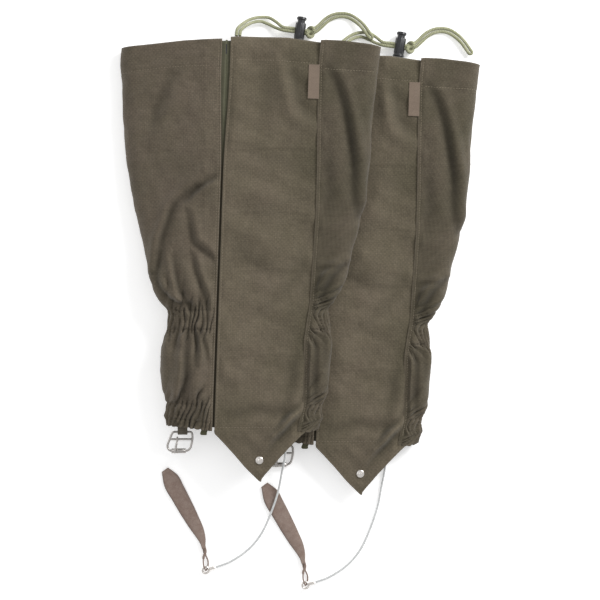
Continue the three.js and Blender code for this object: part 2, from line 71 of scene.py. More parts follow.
def make_camera():
    data = bpy.data.cameras.new("camera")
    data.lens, data.sensor_width, data.clip_end = 100.0, 36.0, 20.0
    camera = put_in_scene("camera", data)
    camera.location = (-0.0003, -0.0345, 1.7505)
    bpy.context.scene.camera = camera


make_camera()


# ---------------------------------------------------------------- small helpers
def table(points, at):
    """Straight-line reading of a list of (position, value) pairs."""
    xs, ys = zip(*points)
    return np.interp(at, xs, ys)


def smooth(a, b, x):
    t = np.clip((np.asarray(x, float) - a) / (b - a), 0.0, 1.0)
    return t * t * (3 - 2 * t)


def bell(distance, width):
    """1 at no distance, fading to 0 over a few widths."""
    return np.exp(-(distance / width) ** 2)


def ramp_height(side, x):
    """How far one gaiter stands off the floor at x, because of the other one under it."""
    return LIFT[side] * np.clip((np.asarray(x, float) - RAMP[0]) / (RAMP[1] - RAMP[0]), 0.0, 1.0)


def to_world(side, points, lift=True):
    """Millimetres in one gaiter's own frame to metres in the row's frame."""
    p = np.array(points, float).reshape(-1, 3).copy()
    if lift:
        p[:, 2] += ramp_height(side, p[:, 0])
    p[:, 0] += PAIR_SHIFT[side][0]
    p[:, 1] += PAIR_SHIFT[side][1]
    return p * MM


def mesh_object(name, verts, faces, material, shade_smooth=True):
    mesh = bpy.data.meshes.new(name)
    mesh.from_pydata([tuple(v) for v in verts], [], [tuple(int(i) for i in f) for f in faces])
    mesh.validate()
    if shade_smooth:
        mesh.polygons.foreach_set("use_smooth", [True] * len(mesh.polygons))
    mesh.materials.append(material)
    return put_in_scene(name, mesh)


def face_out(obj):
    bm = bmesh.new()
    bm.from_mesh(obj.data)
    bmesh.ops.recalc_face_normals(bm, faces=bm.faces)
    bm.to_mesh(obj.data)
    bm.free()


def vector_attribute(obj, name, values):
    attribute = obj.data.attributes.new(name, "FLOAT_VECTOR", "POINT")
    attribute.data.foreach_set("vector", np.asarray(values, np.float32).ravel())


def number_attribute(obj, name, values):
    attribute = obj.data.attributes.new(name, "FLOAT", "POINT")
    attribute.data.foreach_set("value", np.asarray(values, np.float32).ravel())


def coordinates_as_cloth(obj):
    """For small pieces the material follows the place itself, in millimetres."""
    vector_attribute(obj, "cloth", np.array([v.co for v in obj.data.vertices]) * 1000)


def grid_faces(rows, columns, closed=False):
    faces = []
    wide = columns if closed else columns - 1
    for r in range(rows - 1):
        for c in range(wide):
            d = (c + 1) % columns
            faces.append((r * columns + c, r * columns + d, (r + 1) * columns + d, (r + 1) * columns + c))
    return faces


def end_caps(rows, columns):
    """The faces that close both ends of a tube of rings."""
    return [tuple(reversed(range(columns))), tuple(range((rows - 1) * columns, rows * columns))]


def curve_through(points, step):
    """Centripetal Catmull-Rom through the points, resampled evenly."""
    p = np.array(points, float)
    p = np.vstack([2 * p[0] - p[1], p, 2 * p[-1] - p[-2]])
    out = []
    for i in range(1, len(p) - 2):
        a, b, c, d = p[i - 1], p[i], p[i + 1], p[i + 2]
        t1 = math.sqrt(np.linalg.norm(b - a))
        t2 = t1 + math.sqrt(np.linalg.norm(c - b))
        t3 = t2 + math.sqrt(np.linalg.norm(d - c))
        for t in np.linspace(t1, t2, 12, endpoint=False):
            a1 = (t1 - t) / t1 * a + t / t1 * b
            a2 = (t2 - t) / (t2 - t1) * b + (t - t1) / (t2 - t1) * c
            a3 = (t3 - t) / (t3 - t2) * c + (t - t2) / (t3 - t2) * d
            b1 = (t2 - t) / t2 * a1 + t / t2 * a2
            b2 = (t3 - t) / (t3 - t1) * a2 + (t - t1) / (t3 - t1) * a3
            out.append((t2 - t) / (t2 - t1) * b1 + (t - t1) / (t2 - t1) * b2)
    out.append(p[-2])
    out = np.array(out)
    run = np.concatenate([[0], np.cumsum(np.linalg.norm(np.diff(out, axis=0), axis=1))])
    count = max(2, int(round(run[-1] / step)) + 1)
    at = np.linspace(0, run[-1], count)
    return np.stack([np.interp(at, run, out[:, k]) for k in range(3)], axis=1)


def sweep(name, path, section, material, closed=False, up=(0, 0, 1)):
    """A mesh tube: section is a list of (across, up) offsets, or a function of the step giving one."""
    path = np.array(path, float)
    n = len(path)
    if closed:
        tangent = np.roll(path, -1, axis=0) - np.roll(path, 1, axis=0)
    else:
        tangent = np.gradient(path, axis=0)
    tangent /= np.linalg.norm(tangent, axis=1)[:, None]
    verts, along_path, around = [], [], []
    run = 0.0
    first = np.array(section(0) if callable(section) else section, float)
    k = len(first)
    guide = np.array(up, float)
    for i in range(n):
        across = np.cross(guide, tangent[i])
        if np.linalg.norm(across) < 1e-6:
            across = np.cross((1, 0, 0), tangent[i])
        across /= np.linalg.norm(across)
        above = np.cross(tangent[i], across)
        s = np.array(section(i) if callable(section) else section, float)
        verts.append(path[i] + s[:, :1] * across + s[:, 1:] * above)
        if i:
            run += np.linalg.norm(path[i] - path[i - 1])
        along_path += [run * 1000] * k
        around += list(np.arange(k) / k)
    verts = np.vstack(verts)
    faces = grid_faces(n, k, closed=True)
    if closed:
        faces += [((n - 1) * k + c, (n - 1) * k + (c + 1) % k, (c + 1) % k, c) for c in range(k)]
    else:
        faces += end_caps(n, k)
    obj = mesh_object(name, verts, faces, material)
    face_out(obj)
    vector_attribute(obj, "thread", np.stack([along_path, around, np.zeros(len(around))], axis=1))
    return obj


def ring_section(radius, sides=16, flat=1.0):
    a = np.linspace(0, 2 * math.pi, sides, endpoint=False)
    return np.stack([radius * np.cos(a), radius * flat * np.sin(a)], axis=1)


def lathe(name, profile, start, axis, material, sides=48):
    """profile is [(radius, distance along the axis)] in mm, from one end of the axis to the other."""
    axis = Vector(axis).normalized()
    side = axis.orthogonal().normalized()
    other = axis.cross(side)
    start = Vector(start)
    verts = []
    for radius, along_axis in profile:
        for i in range(sides):
            a = 2 * math.pi * i / sides
            spoke = side * math.cos(a) + other * math.sin(a)
            verts.append(start + axis * (along_axis * MM) + spoke * max(radius * MM, 1e-6))
    faces = grid_faces(len(profile), sides, closed=True)
    if profile[0] != profile[-1]:
        faces += end_caps(len(profile), sides)
    obj = mesh_object(name, verts, faces, material)
    face_out(obj)
    return obj


def bevel(obj, width, segments=3):
    modifier = obj.modifiers.new("bevel", "BEVEL")
    modifier.width, modifier.segments = width, segments
    modifier.limit_method, modifier.angle_limit = "ANGLE", math.radians(35)
    return obj


def finish_piece(obj, body, slot_name, *nodes):
    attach(obj, body)
    if nodes:
        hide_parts(*nodes)
    return obj


# ---------------------------------------------------------------- materials
def linear(r, g, b):
    def one(v):
        v /= 255
        return v / 12.92 if v <= 0.04045 else ((v + 0.055) / 1.055) ** 2.4
    return (one(r), one(g), one(b), 1.0)


class Nodes:
    """Short calls for building a material."""

    def __init__(self, name):
        self.material = bpy.data.materials.new(name)
        self.material.use_nodes = True
        self.tree = self.material.node_tree
        self.shader = self.tree.nodes["Principled BSDF"]

    def add(self, kind, values=(), **settings):
        node = self.tree.nodes.new(kind)
        for key, value in settings.items():
            setattr(node, key, value)
        for key, value in dict(values).items():
            self.put(node.inputs[key], value)
        return node

    def put(self, socket, value):
        if hasattr(value, "is_output"):
            self.tree.links.new(value, socket)
        else:
            socket.default_value = value

    def set(self, **values):
        for key, value in values.items():
            self.put(self.shader.inputs[key.replace("_", " ")], value)

    def attribute(self, name, scale=(1, 1, 1), turn=0.0):
        node = self.add("ShaderNodeAttribute", attribute_name=name)
        mapping = self.add("ShaderNodeMapping", {"Vector": node.outputs["Vector"], "Scale": scale,
                                                 "Rotation": (0, 0, turn)})
        return mapping.outputs["Vector"]

    def number(self, name):
        return self.add("ShaderNodeAttribute", attribute_name=name).outputs["Fac"]

    def place(self, scale=(1, 1, 1)):
        node = self.add("ShaderNodeTexCoord")
        mapping = self.add("ShaderNodeMapping", {"Vector": node.outputs["Object"], "Scale": scale})
        return mapping.outputs["Vector"]

    def noise(self, vector, scale, detail=3.0, rough=0.55):
        return self.add("ShaderNodeTexNoise", {"Vector": vector, "Scale": scale, "Detail": detail,
                                               "Roughness": rough}).outputs["Fac"]

    def wave(self, vector, scale, distort=0.0, direction="X", detail=0.0):
        return self.add("ShaderNodeTexWave", {"Vector": vector, "Scale": scale, "Distortion": distort,
                                              "Detail": detail}, bands_direction=direction).outputs["Fac"]

    def math(self, operation, a, b=0.0, c=0.0):
        node = self.add("ShaderNodeMath", operation=operation)
        for socket, value in zip(node.inputs, (a, b, c)):
            self.put(socket, value)
        return node.outputs[0]

    def span(self, value, low, high, to_low=0.0, to_high=1.0):
        return self.add("ShaderNodeMapRange", {"Value": value, "From Min": low, "From Max": high,
                                               "To Min": to_low, "To Max": to_high}).outputs["Result"]

    def mix(self, factor, a, b, blend="MIX"):
        node = self.add("ShaderNodeMix", data_type="RGBA", blend_type=blend)
        self.put(node.inputs["Factor"], factor)
        self.put(node.inputs["A"], a)
        self.put(node.inputs["B"], b)
        return node.outputs["Result"]

    def bump(self, height, strength, distance, normal=None):
        values = {"Height": height, "Strength": strength, "Distance": distance}
        node = self.add("ShaderNodeBump", values)
        if normal is not None:
            self.put(node.inputs["Normal"], normal)
        return node.outputs["Normal"]


def shell_fabric(name, base, green, pale, dark):
    """Softshell cloth: uneven dye, slubby threads both ways, fine diamonds, painted shade in the folds,
    painted shade and random tone from the tone attribute, edges paled by use, and painted highlight on the
    pucker tops.
    """
    n = Nodes(name)
    cloth = n.attribute("cloth")
    dye = n.span(n.noise(cloth, 0.022, 3.0, 0.6), 0.3, 0.72)
    blotch = n.span(n.noise(cloth, 0.09, 2.0, 0.5), 0.4, 0.68)
    down = n.noise(n.attribute("cloth", (0.75, 0.07, 1)), 1.0, 2.0, 0.6)
    over = n.noise(n.attribute("cloth", (0.08, 0.8, 1)), 1.0, 2.0, 0.6)
    diamond_a = n.wave(n.attribute("cloth", (1, 1, 1), math.radians(47)), 0.105, 0.6, "X", 1.0)
    diamond_b = n.wave(n.attribute("cloth", (1, 1, 1), math.radians(-43)), 0.105, 0.6, "X", 1.0)
    diamond = n.math("MULTIPLY", diamond_a, diamond_b)
    colour = n.mix(n.math("MULTIPLY", dye, 0.62), base, green)
    colour = n.mix(n.math("MULTIPLY", blotch, 0.2), colour, pale)
    threads = n.math("ADD", n.span(down, 0.3, 0.7, -0.5, 0.5), n.span(over, 0.3, 0.7, -0.5, 0.5))
    light = n.math("ADD", 1.0, n.math("MULTIPLY", threads, 0.2))
    light = n.math("ADD", light, n.span(diamond, 0.0, 1.0, -0.06, 0.13))
    grain = n.span(n.noise(cloth, 0.85, 3.0, 0.75), 0.3, 0.7, -0.13, 0.13)
    light = n.math("ADD", light, grain)
    tone = n.add("ShaderNodeCombineColor", {"Red": light, "Green": light, "Blue": light})
    colour = n.mix(1.0, colour, tone.outputs["Color"], "MULTIPLY")
    # painted shade: tone darkens the side panel, the elastics and the front beside its seam, with some random
    # tone mixed in
    colour = n.mix(n.number("tone"), colour, (0.59, 0.61, 0.56, 1), "MULTIPLY")
    # painted shade in the valleys of the creases and puckers
    colour = n.mix(n.math("MULTIPLY", n.number("fold"), 0.6), colour, dark)
    # edges paled by use, plus painted highlight on the pucker tops, both read from edge
    pale_mix = n.math("MULTIPLY", n.number("edge"), n.span(n.noise(cloth, 0.6, 2.0), 0.35, 0.7, 0.1, 0.42))
    colour = n.mix(pale_mix, colour, pale)
    warp = n.wave(cloth, 0.75, 0.3, "X")
    weft = n.wave(cloth, 0.75, 0.3, "Y")
    weave = n.math("ADD", n.math("MULTIPLY", warp, weft), n.math("MULTIPLY", threads, 0.5))
    fine = n.bump(weave, 0.5, 0.00025)
    broad = n.bump(n.noise(cloth, 0.15, 5.0, 0.62), 0.38, 0.003, fine)
    n.set(Base_Color=colour, Roughness=n.span(down, 0.2, 0.8, 0.82, 0.97), Normal=broad,
          Sheen_Weight=0.12, Sheen_Roughness=0.5, Specular_IOR_Level=0.18)
    return n.material


def plain_cloth(name, colour, pale, rib=1.2, direction="X", depth=0.0003, painted_gap_shade=False):
    """Ribbed tape, lining or elastic: ribs one way, finer threads across, uneven dye."""
    n = Nodes(name)
    cloth = n.attribute("cloth")
    ribs = n.wave(cloth, rib * 0.16, 0.4, direction, 1.0)
    threads = n.noise(cloth, 1.4, 3.0, 0.65)
    patch = n.span(n.noise(cloth, 0.05, 3.0), 0.3, 0.7)
    tint = n.mix(n.math("MULTIPLY", patch, 0.35), colour, pale)
    tint = n.mix(n.math("MULTIPLY", n.span(ribs, 0, 1, 0.0, 1.0), 0.25), tint, pale)
    tint = n.mix(n.span(threads, 0.35, 0.75, 0.0, 0.3), tint, (0.01, 0.01, 0.008, 1))
    if painted_gap_shade:  # lower down, the zip lies deep between the panels: painted shade, darker towards the foot
        height = n.add("ShaderNodeSeparateXYZ", {"Vector": cloth}).outputs["Y"]
        tint = n.mix(n.span(height, 152, 96, 0.0, 0.86), tint, linear(52, 46, 36))
    n.set(Base_Color=tint, Roughness=0.9, Specular_IOR_Level=0.2, Sheen_Weight=0.1,
          Normal=n.bump(n.math("ADD", ribs, threads), 0.6, depth))
    return n.material


def braid_cord(name, colour, pale, dark):
    """Flat-ribbed braided cord: ribs run across, with painted shade in the grooves between them, so their
    tops stand paler.
    """
    n = Nodes(name)
    thread = n.attribute("thread")
    ribs = n.wave(n.attribute("thread", (1, 1.2, 1)), 0.19, 0.9, "X", 1.0)
    fleck = n.noise(n.attribute("thread", (0.9, 9, 1)), 1.0, 3.0, 0.7)
    patch = n.span(n.noise(thread, 0.07, 2.0), 0.35, 0.65)
    tint = n.mix(patch, colour, n.mix(0.55, colour, pale))
    # painted shade in the grooves between the ribs
    tint = n.mix(n.span(ribs, 0.15, 0.95, 0.0, 0.75), n.mix(0.6, tint, dark), tint)
    tint = n.mix(n.span(fleck, 0.5, 0.8, 0.0, 0.6), tint, pale)
    n.set(Base_Color=tint, Roughness=0.86, Specular_IOR_Level=0.2, Sheen_Weight=0.15,
          Normal=n.bump(n.math("ADD", ribs, n.math("MULTIPLY", fleck, 0.6)), 0.8, 0.0004))
    return n.material


def metal(name, colour, rough, scratch=0.35):
    """Plated metal with fine scratches, dull patches and darker pits."""
    n = Nodes(name)
    where = n.place()
    scratches = n.noise(n.place((900, 5200, 2600)), 1.0, 3.0, 0.7)
    patches = n.noise(where, 260.0, 4.0, 0.6)
    tint = n.mix(n.span(patches, 0.45, 0.75, 0.0, 0.45), colour, (0.23, 0.22, 0.2, 1))
    n.set(Base_Color=tint, Metallic=1.0, Roughness=n.span(patches, 0.3, 0.8, rough, rough + 0.25),
          Normal=n.bump(scratches, scratch, 0.00006))
    return n.material


def moulded(name, colour, rough=0.26):
    """Moulded plastic: faint grain, scuffs and a satin face."""
    n = Nodes(name)
    where = n.place()
    grain = n.noise(where, 5200.0, 2.0, 0.6)
    scuff = n.noise(n.place((1500, 300, 700)), 1.0, 4.0, 0.7)
    tint = n.mix(n.span(scuff, 0.55, 0.8, 0.0, 0.35), colour, (0.16, 0.16, 0.17, 1))
    n.set(Base_Color=tint, Roughness=n.span(scuff, 0.3, 0.8, rough, rough + 0.25),
          Normal=n.bump(grain, 0.25, 0.00005), Coat_Weight=0.15, Coat_Roughness=0.3)
    return n.material


def coated_cable(name):
    """Twisted steel seen through a clear, slightly milky sleeve."""
    n = Nodes(name)
    twist = n.wave(n.attribute("thread", (1, 2.2, 1), math.radians(18)), 0.22, 0.0, "X")
    haze = n.noise(n.attribute("thread", (0.25, 2, 1)), 1.0, 3.0)
    tint = n.mix(n.span(twist, 0.2, 0.9, 0.0, 0.55), (0.47, 0.48, 0.48, 1), (0.8, 0.81, 0.81, 1))
    tint = n.mix(n.span(haze, 0.4, 0.75, 0.0, 0.4), tint, (0.9, 0.9, 0.89, 1))
    n.set(Base_Color=tint, Roughness=0.28, Metallic=0.1, Coat_Weight=0.9, Coat_Roughness=0.08,
          Normal=n.bump(twist, 0.25, 0.00015))
    return n.material


def suede_leather(name):
    """Brushed suede: mottled brown, pores, and darker cut edges and underside."""
    n = Nodes(name)
    where = n.place()
    mottle = n.noise(where, 210.0, 5.0, 0.7)
    nap = n.noise(where, 1300.0, 4.0, 0.75)
    pores = n.add("ShaderNodeTexVoronoi", {"Vector": where, "Scale": 950.0}).outputs["Distance"]
    tint = n.mix(n.span(mottle, 0.3, 0.7), linear(124, 104, 94), linear(146, 130, 121))
    tint = n.mix(n.span(nap, 0.45, 0.8, 0.0, 0.55), tint, linear(170, 154, 144))
    tint = n.mix(n.span(pores, 0.0, 0.28, 0.5, 0.0), tint, linear(88, 72, 64))
    # darker towards the rims and all over the underside
    tint = n.mix(n.math("MULTIPLY", n.number("edge"), 0.6), tint, linear(92, 82, 74))
    n.set(Base_Color=tint, Roughness=0.95, Specular_IOR_Level=0.15, Sheen_Weight=0.3,
          Normal=n.bump(n.math("ADD", nap, mottle), 0.7, 0.0004))
    return n.material


# the last colour of each shell fabric is the painted shade in its folds
M = {
    "calf": shell_fabric("calf_fabric", linear(97, 87, 75), linear(89, 83, 67), linear(119, 109, 96),
                         linear(40, 37, 29)),
    "front": shell_fabric("front_fabric", linear(106, 96, 82), linear(98, 91, 74), linear(124, 114, 99),
                          linear(42, 41, 30)),
    "lining": plain_cloth("lining", linear(78, 73, 61), linear(104, 98, 84)),
    "elastic": plain_cloth("elastic", linear(98, 92, 80), linear(136, 129, 116), 0.9, "Y"),
    "pull": plain_cloth("pull_tape", linear(86, 85, 64), linear(124, 124, 98), 1.4, "Y"),
    "tape": plain_cloth("zip_tape", linear(78, 77, 61), linear(108, 107, 88), 1.4, "Y", painted_gap_shade=True),
    "coil": plain_cloth("zip_coil", linear(88, 89, 70), linear(120, 122, 99), 1.0, "Y", painted_gap_shade=True),
    "label": plain_cloth("label", linear(114, 100, 88), linear(140, 125, 111), 1.6, "Y", 0.0002),
    "thread": plain_cloth("stitching", linear(128, 118, 101), linear(152, 142, 124), 2.0, "X"),
    "dark_thread": plain_cloth("seam_stitching", linear(132, 122, 104), linear(156, 146, 127), 2.0, "X"),
    "cord": braid_cord("drawcord", linear(152, 155, 122), linear(196, 196, 168), linear(112, 112, 84)),
    "nickel": metal("nickel", (0.5, 0.475, 0.455, 1), 0.2),
    "bright": metal("bright_nickel", (0.86, 0.82, 0.78, 1), 0.18, 0.2),
    "spring": metal("spring_steel", (0.6, 0.6, 0.6, 1), 0.25),
    "plastic": moulded("black_plastic", (0.014, 0.014, 0.016, 1)),
    "cable": coated_cable("coated_cable"),
    "suede": suede_leather("leather"),
}

# ---------------------------------------------------------------- cord and cable routes
# x, y, z in one gaiter's own frame, then how much of the gaiter's lift the point gets
UPPER_STRAND = [
    (-13.6, 229.8, 14.8, 1), (-12.6, 237, 13.4, 0.95), (-5, 246, 9, 0.62), (3, 251.5, 5, 0.3),
    (11.4, 254, 2.4, 0.08), (19.8, 253.6, 2.2, 0), (27, 249, 4, 0), (34, 243.3, 6.6, 0),
    (43, 242, 6.6, 0), (52, 240.6, 6.6, 0), (60, 239.4, 6.6, 0), (66.4, 241.7, 4.5, 0),
    (72.4, 246.5, 2.6, 0), (78.3, 252.5, 1.8, 0), (85.5, 256.7, 1.8, 0), (93.8, 258.4, 1.8, 0),
    (103.4, 257.3, 1.8, 0), (111.7, 252.5, 2.4, 0.06), (118.9, 245.6, 3.4, 0.12),
    (127, 234.5, 3.4, 0.12),
]
LOWER_STRAND = [
    (-10.1, 229.8, 14.8, 1), (-9.2, 235.6, 13.4, 0.95), (-2.2, 243.4, 9, 0.62), (4.6, 247.8, 5, 0.3),
    (11.4, 249.4, 2.4, 0.08), (18.8, 247, 2.2, 0), (26.4, 243, 4, 0), (34, 240, 6.6, 0),
    (43, 238.7, 6.6, 0), (52, 237.3, 6.6, 0), (60, 236.1, 6.6, 0), (67.8, 238.2, 4.5, 0),
    (74.8, 243.9, 2.6, 0), (80.4, 249.3, 1.8, 0), (86.8, 253.1, 1.8, 0), (93.9, 254.9, 1.8, 0),
    (102, 253.9, 1.8, 0), (109.5, 249.6, 2.4, 0.06), (116.2, 243.2, 3.4, 0.12),
    (124, 232.6, 3.4, 0.12),
]
CABLE_ROUTE = [
    (38, -180.3, 5.4, 1), (37.8, -190, 3.8, 1), (36.9, -200.5, 1.9, 0.94), (35.4, -211, 1.6, 0.66),
    (33.3, -221, 1.5, 0.42), (29, -243, 1.5, 0.2), (21.5, -265.5, 1.5, 0.14),
    (11, -288.3, 1.5, 0.05), (-2.5, -304.3, 1.5, 0), (-21.5, -317, 1.7, 0.02),
    (-36.2, -322.5, 2.4, 0.02),
]
CORD_D, CABLE_D = 3.0, 2.3
RING = (-46.9, -325.6, 3.3)
KNOT = (62.9, 237.8, 6.2)
LOCK_FOOT, LOCK_TOP, LOCK_Z = (50.2, 227.6), (54.1, 253.6), 6.6
RIVET = (10.2, -207.1)


def lying(side, route):
    points = [(x, y, z + share * LIFT[side]) for x, y, z, share in route]
    return to_world(side, points, lift=False)


def braid_section(i):
    """The cord's flattened section, which swells a little with every turn of the braid."""
    swell = 1 + 0.05 * math.sin(i * 0.6 * 2 * math.pi / 1.25)
    return ring_section(1.11 * (CORD_D / 2 * MM) * swell, 14, 0.77)


def make_cords(side):
    body = f"{side}_gaiter"
    strands = {}
    for name, route in (("upper", UPPER_STRAND), ("lower", LOWER_STRAND)):
        path = curve_through(lying(side, route), 0.0006)
        strands[name] = (sweep(f"{side}_drawcord_{name}", path, braid_section, M["cord"]), path)
    fold = cord_fold(side, strands["upper"][1][-1], strands["lower"][1][-1], strands["upper"][1][-8])
    knot = cord_knot(side)
    finish_piece(knot, body, "drawcord")
    finish_piece(fold, body, "drawcord")
    for name, (obj, path) in strands.items():
        finish_piece(obj, body, "drawcord", f"{side}_drawcord")
    path = curve_through(lying(side, CABLE_ROUTE), 0.001)
    cable = sweep(f"{side}_cable_line", path, ring_section(CABLE_D / 2 * MM, 14), M["cable"])
    finish_piece(cable, body, "coated_cable", f"{side}_cable")
    fitting = cable_ring(side)
    finish_piece(fitting, body, "nickel", f"{side}_cable_fitting")


def cord_fold(side, a, b, before):
    """The doubled cord's turn at its tail end, squeezed flat from long use."""
    away = np.array(a) - np.array(before)
    away /= np.linalg.norm(away)
    a, b = np.array(a), np.array(b)
    inner = 0.0003 * away
    points = [a - 2 * inner, a + 0.0012 * away, (a + b) / 2 + 0.0026 * away, b + 0.0012 * away, b - 2 * inner]
    path = curve_through(points, 0.0004)
    return sweep(f"{side}_drawcord_fold", path, ring_section(CORD_D / 2 * MM, 12, 0.8), M["cord"])


def cord_knot(side):
    """An overhand knot: one fat turn round the two strands, and a second one across it."""
    centre = np.array(KNOT)
    points = []
    for i in range(61):
        t = 2 * math.pi * i / 60
        x = 2.9 * math.sin(2 * t) + 0.6 * math.cos(t)
        y = 4.0 * math.cos(t) + 0.9 * math.cos(3 * t)
        z = 2.3 * math.sin(t) + 0.9 * math.sin(3 * t)
        points.append(centre + (x, y, z))
    points = to_world(side, points[:-1], lift=False)
    return sweep(f"{side}_drawcord_knot", points, ring_section(1.9 * MM, 12), M["cord"], closed=True)


def cable_ring(side):
    """Cast eye with a crimped sleeve on the cable."""
    x, y, z = RING
    a = np.linspace(0, 2 * math.pi, 48, endpoint=False)
    path = to_world(side, [(x + 3.4 * math.cos(t), y + 3.4 * math.sin(t), z) for t in a], lift=False)
    ring = sweep(f"{side}_cable_eye", path, ring_section(1.1 * MM, 16), M["bright"], closed=True)
    way = np.array((0.96, 0.28, 0.0))
    profile = [(0.9, 0), (1.6, 0.2), (1.75, 0.7), (1.5, 1.5), (1.75, 2.3), (1.5, 3.1), (1.75, 3.9),
               (1.6, 5.6), (1.25, 6.2), (1.16, 6.3)]
    start = to_world(side, [np.array(RING) + 3.7 * way], lift=False)[0]
    sleeve = lathe("sleeve", profile, start, way, M["bright"], 24)
    return join_objects(ring, sleeve)


def join_objects(first, *others):
    bpy.ops.object.select_all(action="DESELECT")
    for obj in (first, *others):
        obj.select_set(True)
    bpy.context.view_layer.objects.active = first
    bpy.ops.object.join()
    return first


for side in SIDES:
    make_cords(side)

# ---------------------------------------------------------------- outlines of one gaiter
# (y, x) pairs from the foot opening to the calf opening
LEFT_EDGE = [
    (-176, -85.5), (-170, -87.6), (-166, -89.2), (-160, -87.4), (-150, -86.3), (-142, -89.4),
    (-130, -91.5), (-117, -93.6), (-105, -93.6), (-92, -92.6), (-80, -89.4), (-74, -86.8), (-67, -85.3),
    (-57, -84.2), (-51, -86.3), (-42, -93.6), (-30, -100.9), (-17, -104), (7.5, -110.2), (32, -115.4),
    (57, -121.7), (82, -125.8), (107, -130), (132, -132.1), (157, -133.1), (182, -134.2), (207, -136.0),
    (217, -135.6), (225, -134.4),
]
RIGHT_EDGE = [
    (-176, 70.5), (-165, 74.4), (-156, 73.1), (-151, 74.6), (-137, 80.2), (-126, 80.6), (-114, 81.6),
    (-101, 82.7), (-89, 83.7), (-76, 82.7), (-64, 81.6), (-51.5, 80.6), (-39, 90), (-27, 96.2),
    (-14, 101.4), (11, 106.6), (36, 113.9), (61, 119.1), (86, 122.2), (111, 125.3), (136, 126.4),
    (161, 128.4), (186, 131.6), (210, 133.8), (225, 135.6),
]
ZIP_LINE = [(-175, -37.1), (225, -23.4)]
SEAM_LINE = [(-175, 50.6), (-148, 56.2), (-83, 57.6), (-46, 63.4), (42, 69.4), (90, 70.7), (143, 71.3),
             (198, 72.3), (225, 75.0)]
FRONT_TOP = [(-30, 227.6), (-20, 228.2), (-12, 229), (41, 227), (60, 224.6), (80, 221.8)]
CALF_TOP = [(-136, 220.3), (-105, 222.3), (-68, 225.2), (-24, 226.6)]
SIDE_TOP = [(70, 224.4), (78, 225.1), (94, 224.6), (120, 221.4), (137, 218.8)]
BACK_TOP = [(-136, 220.3), (-60, 222.5), (0, 223.5), (80, 221.5), (137, 218.8)]
CALF_FOOT = [(-90, -171.6), (-54, -175.2), (-37, -177.4)]
BACK_FOOT = [(-90, -171.6), (-37, -174.6), (50, -174.6), (75, -173.2)]
SIDE_FOOT = [(50, -177.2), (62, -177.8), (74, -173.8)]
POINT_LEFT = [(-229.3, 10.2), (-227.5, 8.3), (-215, -4.2), (-200.5, -16.6), (-187, -29), (-180, -35.9),
              (-176, -36.6)]
POINT_RIGHT = [(-229.3, 10.6), (-222, 16.1), (-207.5, 28.6), (-194, 41.1), (-181.5, 53.6), (-177.4, 58.4)]


def zip_x(s):
    return table(ZIP_LINE, s)


def seam_x(s):
    return table(SEAM_LINE, s)


def leaned(top_line, x, s):
    """Nominal height s moved so that the top row follows the sloping top line."""
    return s + (table(top_line, x) - TOP_Y) * smooth(TOP_EASE, TOP_Y, s)


def open_half(s):
    """Half the gap between the two panels, which part above the shin."""
    return 0.95 + 3.25 * smooth(85, 200, s)


# ---------------------------------------------------------------- folds
# Each fold is a list of (x, y), then depth, width and the side its crest stands on
CALF_FOLDS = [
    ([(-30.3, 86.2), (-44.3, 80), (-58.3, 69.1), (-66, 60.5)], 2.9, 4.0, 1),
    ([(-56, 72.5), (-67.7, 64.4), (-78.6, 53.5), (-84.8, 36.4), (-91.1, 17.6), (-94.2, 0.5), (-97, -14)],
     3.4, 4.4, -1),
    ([(-64.6, 49), (-60.7, 28.5), (-57.6, 16.1), (-49, 9.1), (-38, 0), (-30, -4.5)], 2.2, 4.4, 1),
    ([(-59, 3.8), (-54.6, -16.6), (-48.8, -31.2), (-44.4, -45.8), (-42.9, -53)], 2.3, 3.6, 1),
    ([(-79.4, 4), (-75, -19.5), (-70.6, -34.1), (-63.3, -45), (-60.4, -53.1)], 2.6, 3.4, -1),
    ([(-99, -17), (-88.1, -35.6), (-76.4, -44.3), (-63.4, -45.8)], 2.4, 3.0, 1),
    ([(-92.5, 5), (-95.4, -12.2), (-92.5, -26.8)], 1.6, 3.4, -1),
    ([(-78.6, 198), (-91, 168.9), (-98.8, 150), (-102, 131.4)], 1.6, 8.0, 1),
    ([(-64, -76), (-64.8, -100), (-65.2, -121.6), (-67.7, -136), (-66.3, -149)], 3.6, 4.2, -1),
    ([(-56, -72), (-54.6, -92.5), (-56, -112)], 2.2, 3.0, 1),
    ([(-51.7, -75), (-45.8, -92.5), (-43, -106)], 1.8, 3.2, 1),
    ([(-74, -72), (-76, -86), (-70, -94)], 1.3, 4.0, 1),
    ([(-68, -136), (-74, -146), (-79, -152)], 1.8, 3.0, -1),
    ([(-38, -140), (-45, -147), (-50, -156)], 1.6, 3.2, 1),
]
SIDE_FOLDS = [
    ([(80, 200), (91.4, 174.9), (98.8, 147), (102.5, 124.8), (106.2, 95), (108, 57.9), (114, 41)],
     3.2, 5.5, 1),
    ([(76, 112), (80, 90), (79, 66), (76, 48)], 1.3, 8.0, 1),
    ([(98.8, -7), (86, -20), (73, -42)], 3.4, 4.4, -1),
    ([(69, -12), (82, -10), (97, -8)], 1.4, 3.0, 1),
    ([(68, -78), (70, -100), (68, -122), (67, -146)], 2.6, 4.0, -1),
    ([(75, -76), (77, -96), (75, -112)], 1.6, 3.4, 1),
]
